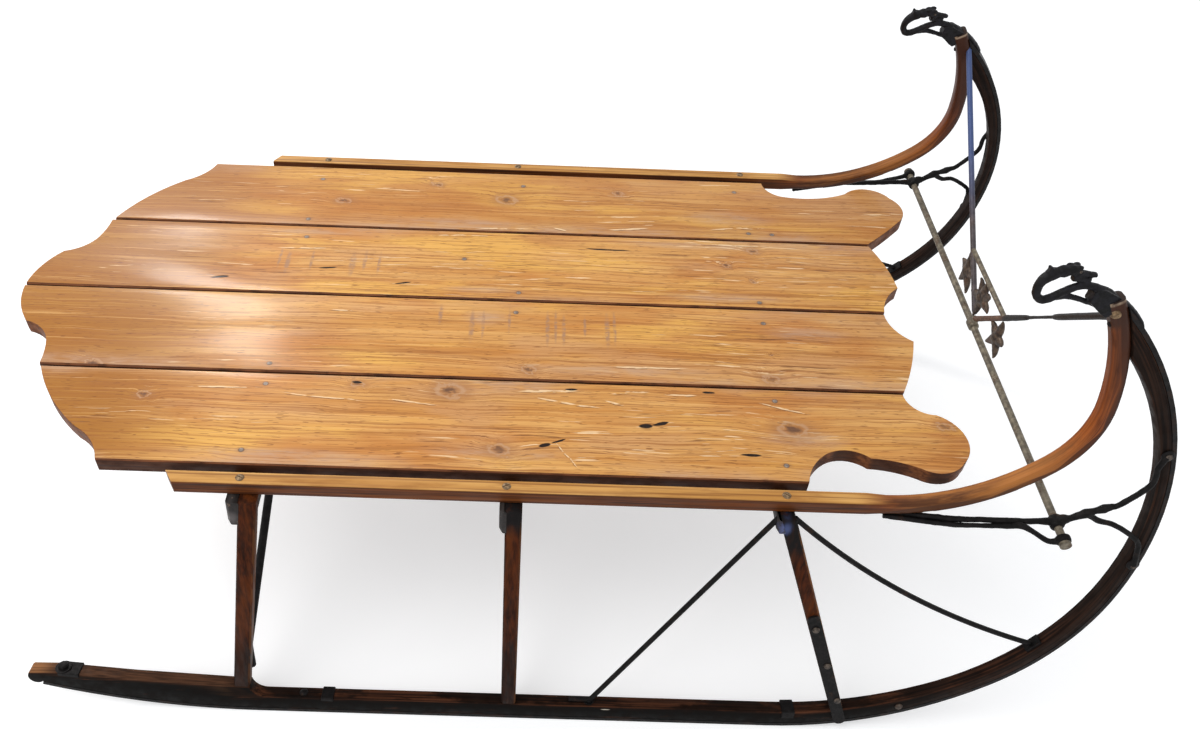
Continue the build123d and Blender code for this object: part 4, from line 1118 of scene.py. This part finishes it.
# ---- Fasteners ----
def slotted(bm, centre, axis, radius, turn):
    """Domed screw head with a slot, as two half domes over a disc."""
    axis = axis.normalized()
    lathe(bm, centre, axis, ((radius, -1), (radius, 0.2), (radius * 0.9, 0.5), (radius * 0.5, 0.7)))
    across = Matrix.Rotation(math.radians(turn), 3, axis) @ axis.orthogonal().normalized()
    along = axis.cross(across)
    for way in (1, -1):
        rings = []
        for share, height in ((1, 0.4), (0.86, 1.2), (0.6, 1.9), (0.3, 2.2)):
            half = []
            for k in range(13):
                angle = math.pi * k / 12
                aside = way * (math.sin(angle) * radius * share * 0.86 + radius * 0.14)
                off = along * (math.cos(angle) * radius * share) + across * aside
                half.append(bm.verts.new(centre + (off + axis * height) * MM))
            rings.append(half)
        stitched(bm, rings)
    bmesh.ops.recalc_face_normals(bm, faces=bm.faces)


def bolt_head(bm, centre, axis, radius, height, sides=24, washer=0):
    """Domed or hexagonal head, with a washer under it if it has a radius."""
    if washer:
        lathe(bm, centre, axis, ((washer, -0.5), (washer, 1.2), (washer - 0.6, 1.7), (radius * 0.5, 1.8)))
    base = 1.6 if washer else -0.5
    rows = ((1, 0), (1, 0.55), (0.86, 0.85), (0.4, 1))
    lathe(bm, centre, axis, [(radius * share, base + height * part) for share, part in rows], sides)
    bmesh.ops.recalc_face_normals(bm, faces=bm.faces)


def on_rail(back, inward, hand):
    """Point on the rounded rail and its normal, that far back from the end and turned in from outside."""
    (a, b), radius, _, last, _ = RAIL_RUN.arcs[-1]
    angle = last - back / radius
    ahead, up, out = side_turn(hand, RAIL_LEAN).transposed()
    way = ahead * (a + radius * math.sin(angle)) + up * (b - radius * math.cos(angle))
    inner = up * math.cos(angle) - ahead * math.sin(angle)
    turn = math.radians(inward)
    normal = out * math.cos(turn) + inner * math.sin(turn)
    return world(0, RAIL_Y, RAIL_Z, hand) + way * MM + normal * (RAIL_HALF * MM), normal


RUNNER_TREES = {}
for hand, label in HANDS:
    mesh = nodes["runner_" + label].data
    corners = [vert.co for vert in mesh.vertices]
    RUNNER_TREES[hand] = BVHTree.FromPolygons(corners, [list(face.vertices) for face in mesh.polygons])


def top_slope(hand, x):
    """Height up the slope of the runner's top at x."""
    place = RUNNER_TREES[hand].ray_cast(side(x, 200, MIDDLE_OUT, hand), -side_turn(hand).col[1])[0]
    return RUNNER_TOP if place is None else (place - side(x, 0, MIDDLE_OUT, hand)).length / MM


CLIP_ROUND = 1.5  # cut off the corners of a clip
CLIP_RAMP = 0.8  # over which its ends rise from the wood


def clip(bm, hand, start, end, drop, thick):
    """Thin band folded over the runner from start to end, down both its sides."""
    rings = []
    for x, grow in ((start, 0), (start + CLIP_RAMP, thick), (end - CLIP_RAMP, thick), (end, 0)):
        top = top_slope(hand, x)
        inner, outer = -RUNNER_THICK - grow, grow
        foot, shoulder, crown = top - drop, top + grow - CLIP_ROUND, top + grow
        outline = (
            (foot, inner), (shoulder, inner), (crown, inner + CLIP_ROUND), (crown, outer - CLIP_ROUND),
            (shoulder, outer), (foot, outer),
        )
        rings.append([bm.verts.new(side(x, slope, out, hand)) for slope, out in outline])
    stitched(bm, rings)
    bmesh.ops.recalc_face_normals(bm, faces=bm.faces)


# Rows of (start, end, how far down the sides, thickness) of the clips over a runner.
CLIPS = ((-747, -714, 4, 2.2), (-338, -318, 4, 2), (400, 421, 12, 2.4))
TAIL_NUT, STAY_NUT, STAY_LUMP = -741, 90, -367  # x on the runner's top
STRAP_BOLTS = ((418, 228), (450, 150), (481, 71))  # x, up the slope
BEND_BOLT = (22.5, 16)  # heading, depth
# Rows of (name, back from the end, turn inwards, radius, height, sides, washer, look).
RAIL_END_BOLTS = (
    ("bolt", 17, 28, 3.2, 1.8, 20, 6.4, SCREW_STEEL), ("nut", 35, 75, 3.4, 3.4, 6, 0, BLACK_IRON),
)
UP = Vector((0, 0, 1))
# Rows of (turn of the slot, x) of the screws down through each rail.
SCREWS = {"right": ((20, -418), (70, -50), (10, 339)), "left": ((35, -420), (80, -57), (50, 370))}
SCREW_R = 6.2
NAIL = ((3.6, -1), (3.6, 0.1), (2.9, 0.35), (1.2, 0.2))
for hand, label in HANDS:
    face = side_turn(hand)
    bm = bmesh.new()
    for turn, x in SCREWS[label]:
        slotted(bm, world(x, RAIL_Y, RAIL_Z + RAIL_HALF + 0.8, hand), UP, SCREW_R, turn)
    piece("rail_screws_" + label, bm, [SCREW_STEEL])

    bm = bmesh.new()
    for x, slope in STRAP_BOLTS:
        bolt_head(bm, side(x, slope, 4, hand), face.col[2], 5.6, 3.6)
    for heading, depth in IRON_BOLTS:
        bolt_head(bm, bend_point(heading, depth, 4.4, hand), face.col[2], 4.6, 2.6)
    bolt_head(bm, bend_point(*BEND_BOLT, 0, hand), face.col[2], 6, 3.4)
    piece("side_bolts_" + label, bm, [FASTENER])

    # Clips over the runner, a nut on the one over the tail, and the stay's foot nut.
    bm = bmesh.new()
    for row in CLIPS:
        clip(bm, hand, *row)
    top = top_slope(hand, TAIL_NUT)
    bolt_head(bm, side(TAIL_NUT, top + 1.5, MIDDLE_OUT, hand), face.col[1], 8, 7, 6, 12.5)
    bolt_head(bm, side(STAY_NUT, RUNNER_TOP, MIDDLE_OUT, hand), face.col[1], 6, 5.5, 6, 8)
    lump(bm, side(STAY_LUMP, RUNNER_TOP, MIDDLE_OUT, hand), (7, 4, 7), face)
    piece("top_clips_" + label, bm, [BLACK_IRON])

    # Bolt through the rail's end, with its washer, and the nut below it.
    for part, back, inward, radius, height, sides, washer, look in RAIL_END_BOLTS:
        place, axis = on_rail(back, inward, hand)
        bm = bmesh.new()
        bolt_head(bm, place, axis, radius, height, sides, washer)
        piece("rail_end_{}_{}".format(part, label), bm, [look])

bm = bmesh.new()
for x, y in NAILS:
    lathe(bm, Vector((x, y, DECK_TOP)) * MM, UP, NAIL, 16)
bmesh.ops.recalc_face_normals(bm, faces=bm.faces)
piece("deck_nails", bm, [NAIL_STEEL])

# ---- Stage ----
FLOOR_HALF = 9
FLOOR_Z = cad_box[0][2] - 0.3 * MM  # clear of the soles, which would show through it from below
WHITE = (1, 1, 1, 1)


def floor_look():
    """Pale paper: the camera sees it lit up to white, and it keeps the shadows."""
    look = Look("floor_paper")
    grain = look.noise((1.1,) * 3, None, 2)
    look.put("Base Color", look.blend(grain, tone(216, 216, 216), tone(228, 228, 228)))
    look.put("Roughness", 0.9)
    look.put("Specular IOR Level", 0.05)
    look.put("Emission Color", WHITE)
    look.put("Emission Strength", look.background_rays() * 0.42)
    return look.material


mesh = bpy.data.meshes.new("floor")
corners = [(a * FLOOR_HALF, b * FLOOR_HALF, FLOOR_Z) for a, b in ((-1, -1), (1, -1), (1, 1), (-1, 1))]
mesh.from_pydata(corners, [], [(0, 1, 2, 3)])
mesh.materials.append(floor_look())
floor = bpy.data.objects.new("floor", mesh)
bpy.context.scene.collection.objects.link(floor)

scene = bpy.context.scene
scene.view_settings.view_transform = "Standard"
scene.world = bpy.data.worlds.new("studio")
sky = Graph(scene.world)
lit = sky.made("ShaderNodeBackground", 0, {"Color": (0.95, 0.97, 1, 1), "Strength": 0.78})
seen = sky.made("ShaderNodeBackground", 0, {"Color": WHITE})
shown = sky.made("ShaderNodeMixShader", 0, {0: sky.background_rays(), 1: lit, 2: seen})
sky.join(sky.tree.nodes["World Output"].inputs["Surface"], shown)


def softbox(name, place, aim, size, power, tint=(1, 1, 1), roll=0):
    """Rectangular lamp that looks at a point, rolled about its line of sight."""
    lamp = bpy.data.lights.new(name, "AREA")
    lamp.shape = "RECTANGLE"
    lamp.size, lamp.size_y = size
    lamp.energy = power
    lamp.color = tint
    made = bpy.data.objects.new(name, lamp)
    made.location = place
    facing = (Vector(aim) - Vector(place)).to_track_quat("-Z", "Y").to_matrix()
    made.rotation_euler = (facing @ Matrix.Rotation(math.radians(roll), 3, "Z")).to_euler()
    scene.collection.objects.link(made)


softbox("key", (-1.4, -1.2, 2.9), (0, 0, 0.3), (2, 2), 40)
softbox("window", (-1.74, 2.2, 2.3), (-0.6, 0.05, 0.45), (0.32, 1.05), 38, (1, 0.98, 0.95), 13)

# ---- Camera ----
IMAGE = (1200, 729)
FOCAL = 1033  # pixels
CENTRE = (537, 391.5)
YAW, PITCH, ROLL = math.radians(0.96), math.radians(45.37), math.radians(-2.62)
EYE = (-0.0292, -1.305, 1.562)
lens = bpy.data.cameras.new("camera")
lens.sensor_fit = "HORIZONTAL"
lens.sensor_width = 36
lens.lens = FOCAL / IMAGE[0] * lens.sensor_width
lens.shift_x = (IMAGE[0] / 2 - CENTRE[0]) / IMAGE[0]
lens.shift_y = (CENTRE[1] - IMAGE[1] / 2) / IMAGE[0]
camera = bpy.data.objects.new("camera", lens)
camera.matrix_world = (
    Matrix.Translation(EYE) @ Matrix.Rotation(-YAW, 4, "Z") @ Matrix.Rotation(math.pi / 2 - PITCH, 4, "X")
    @ Matrix.Rotation(-ROLL, 4, "Z")
)
scene.collection.objects.link(camera)
scene.camera = camera
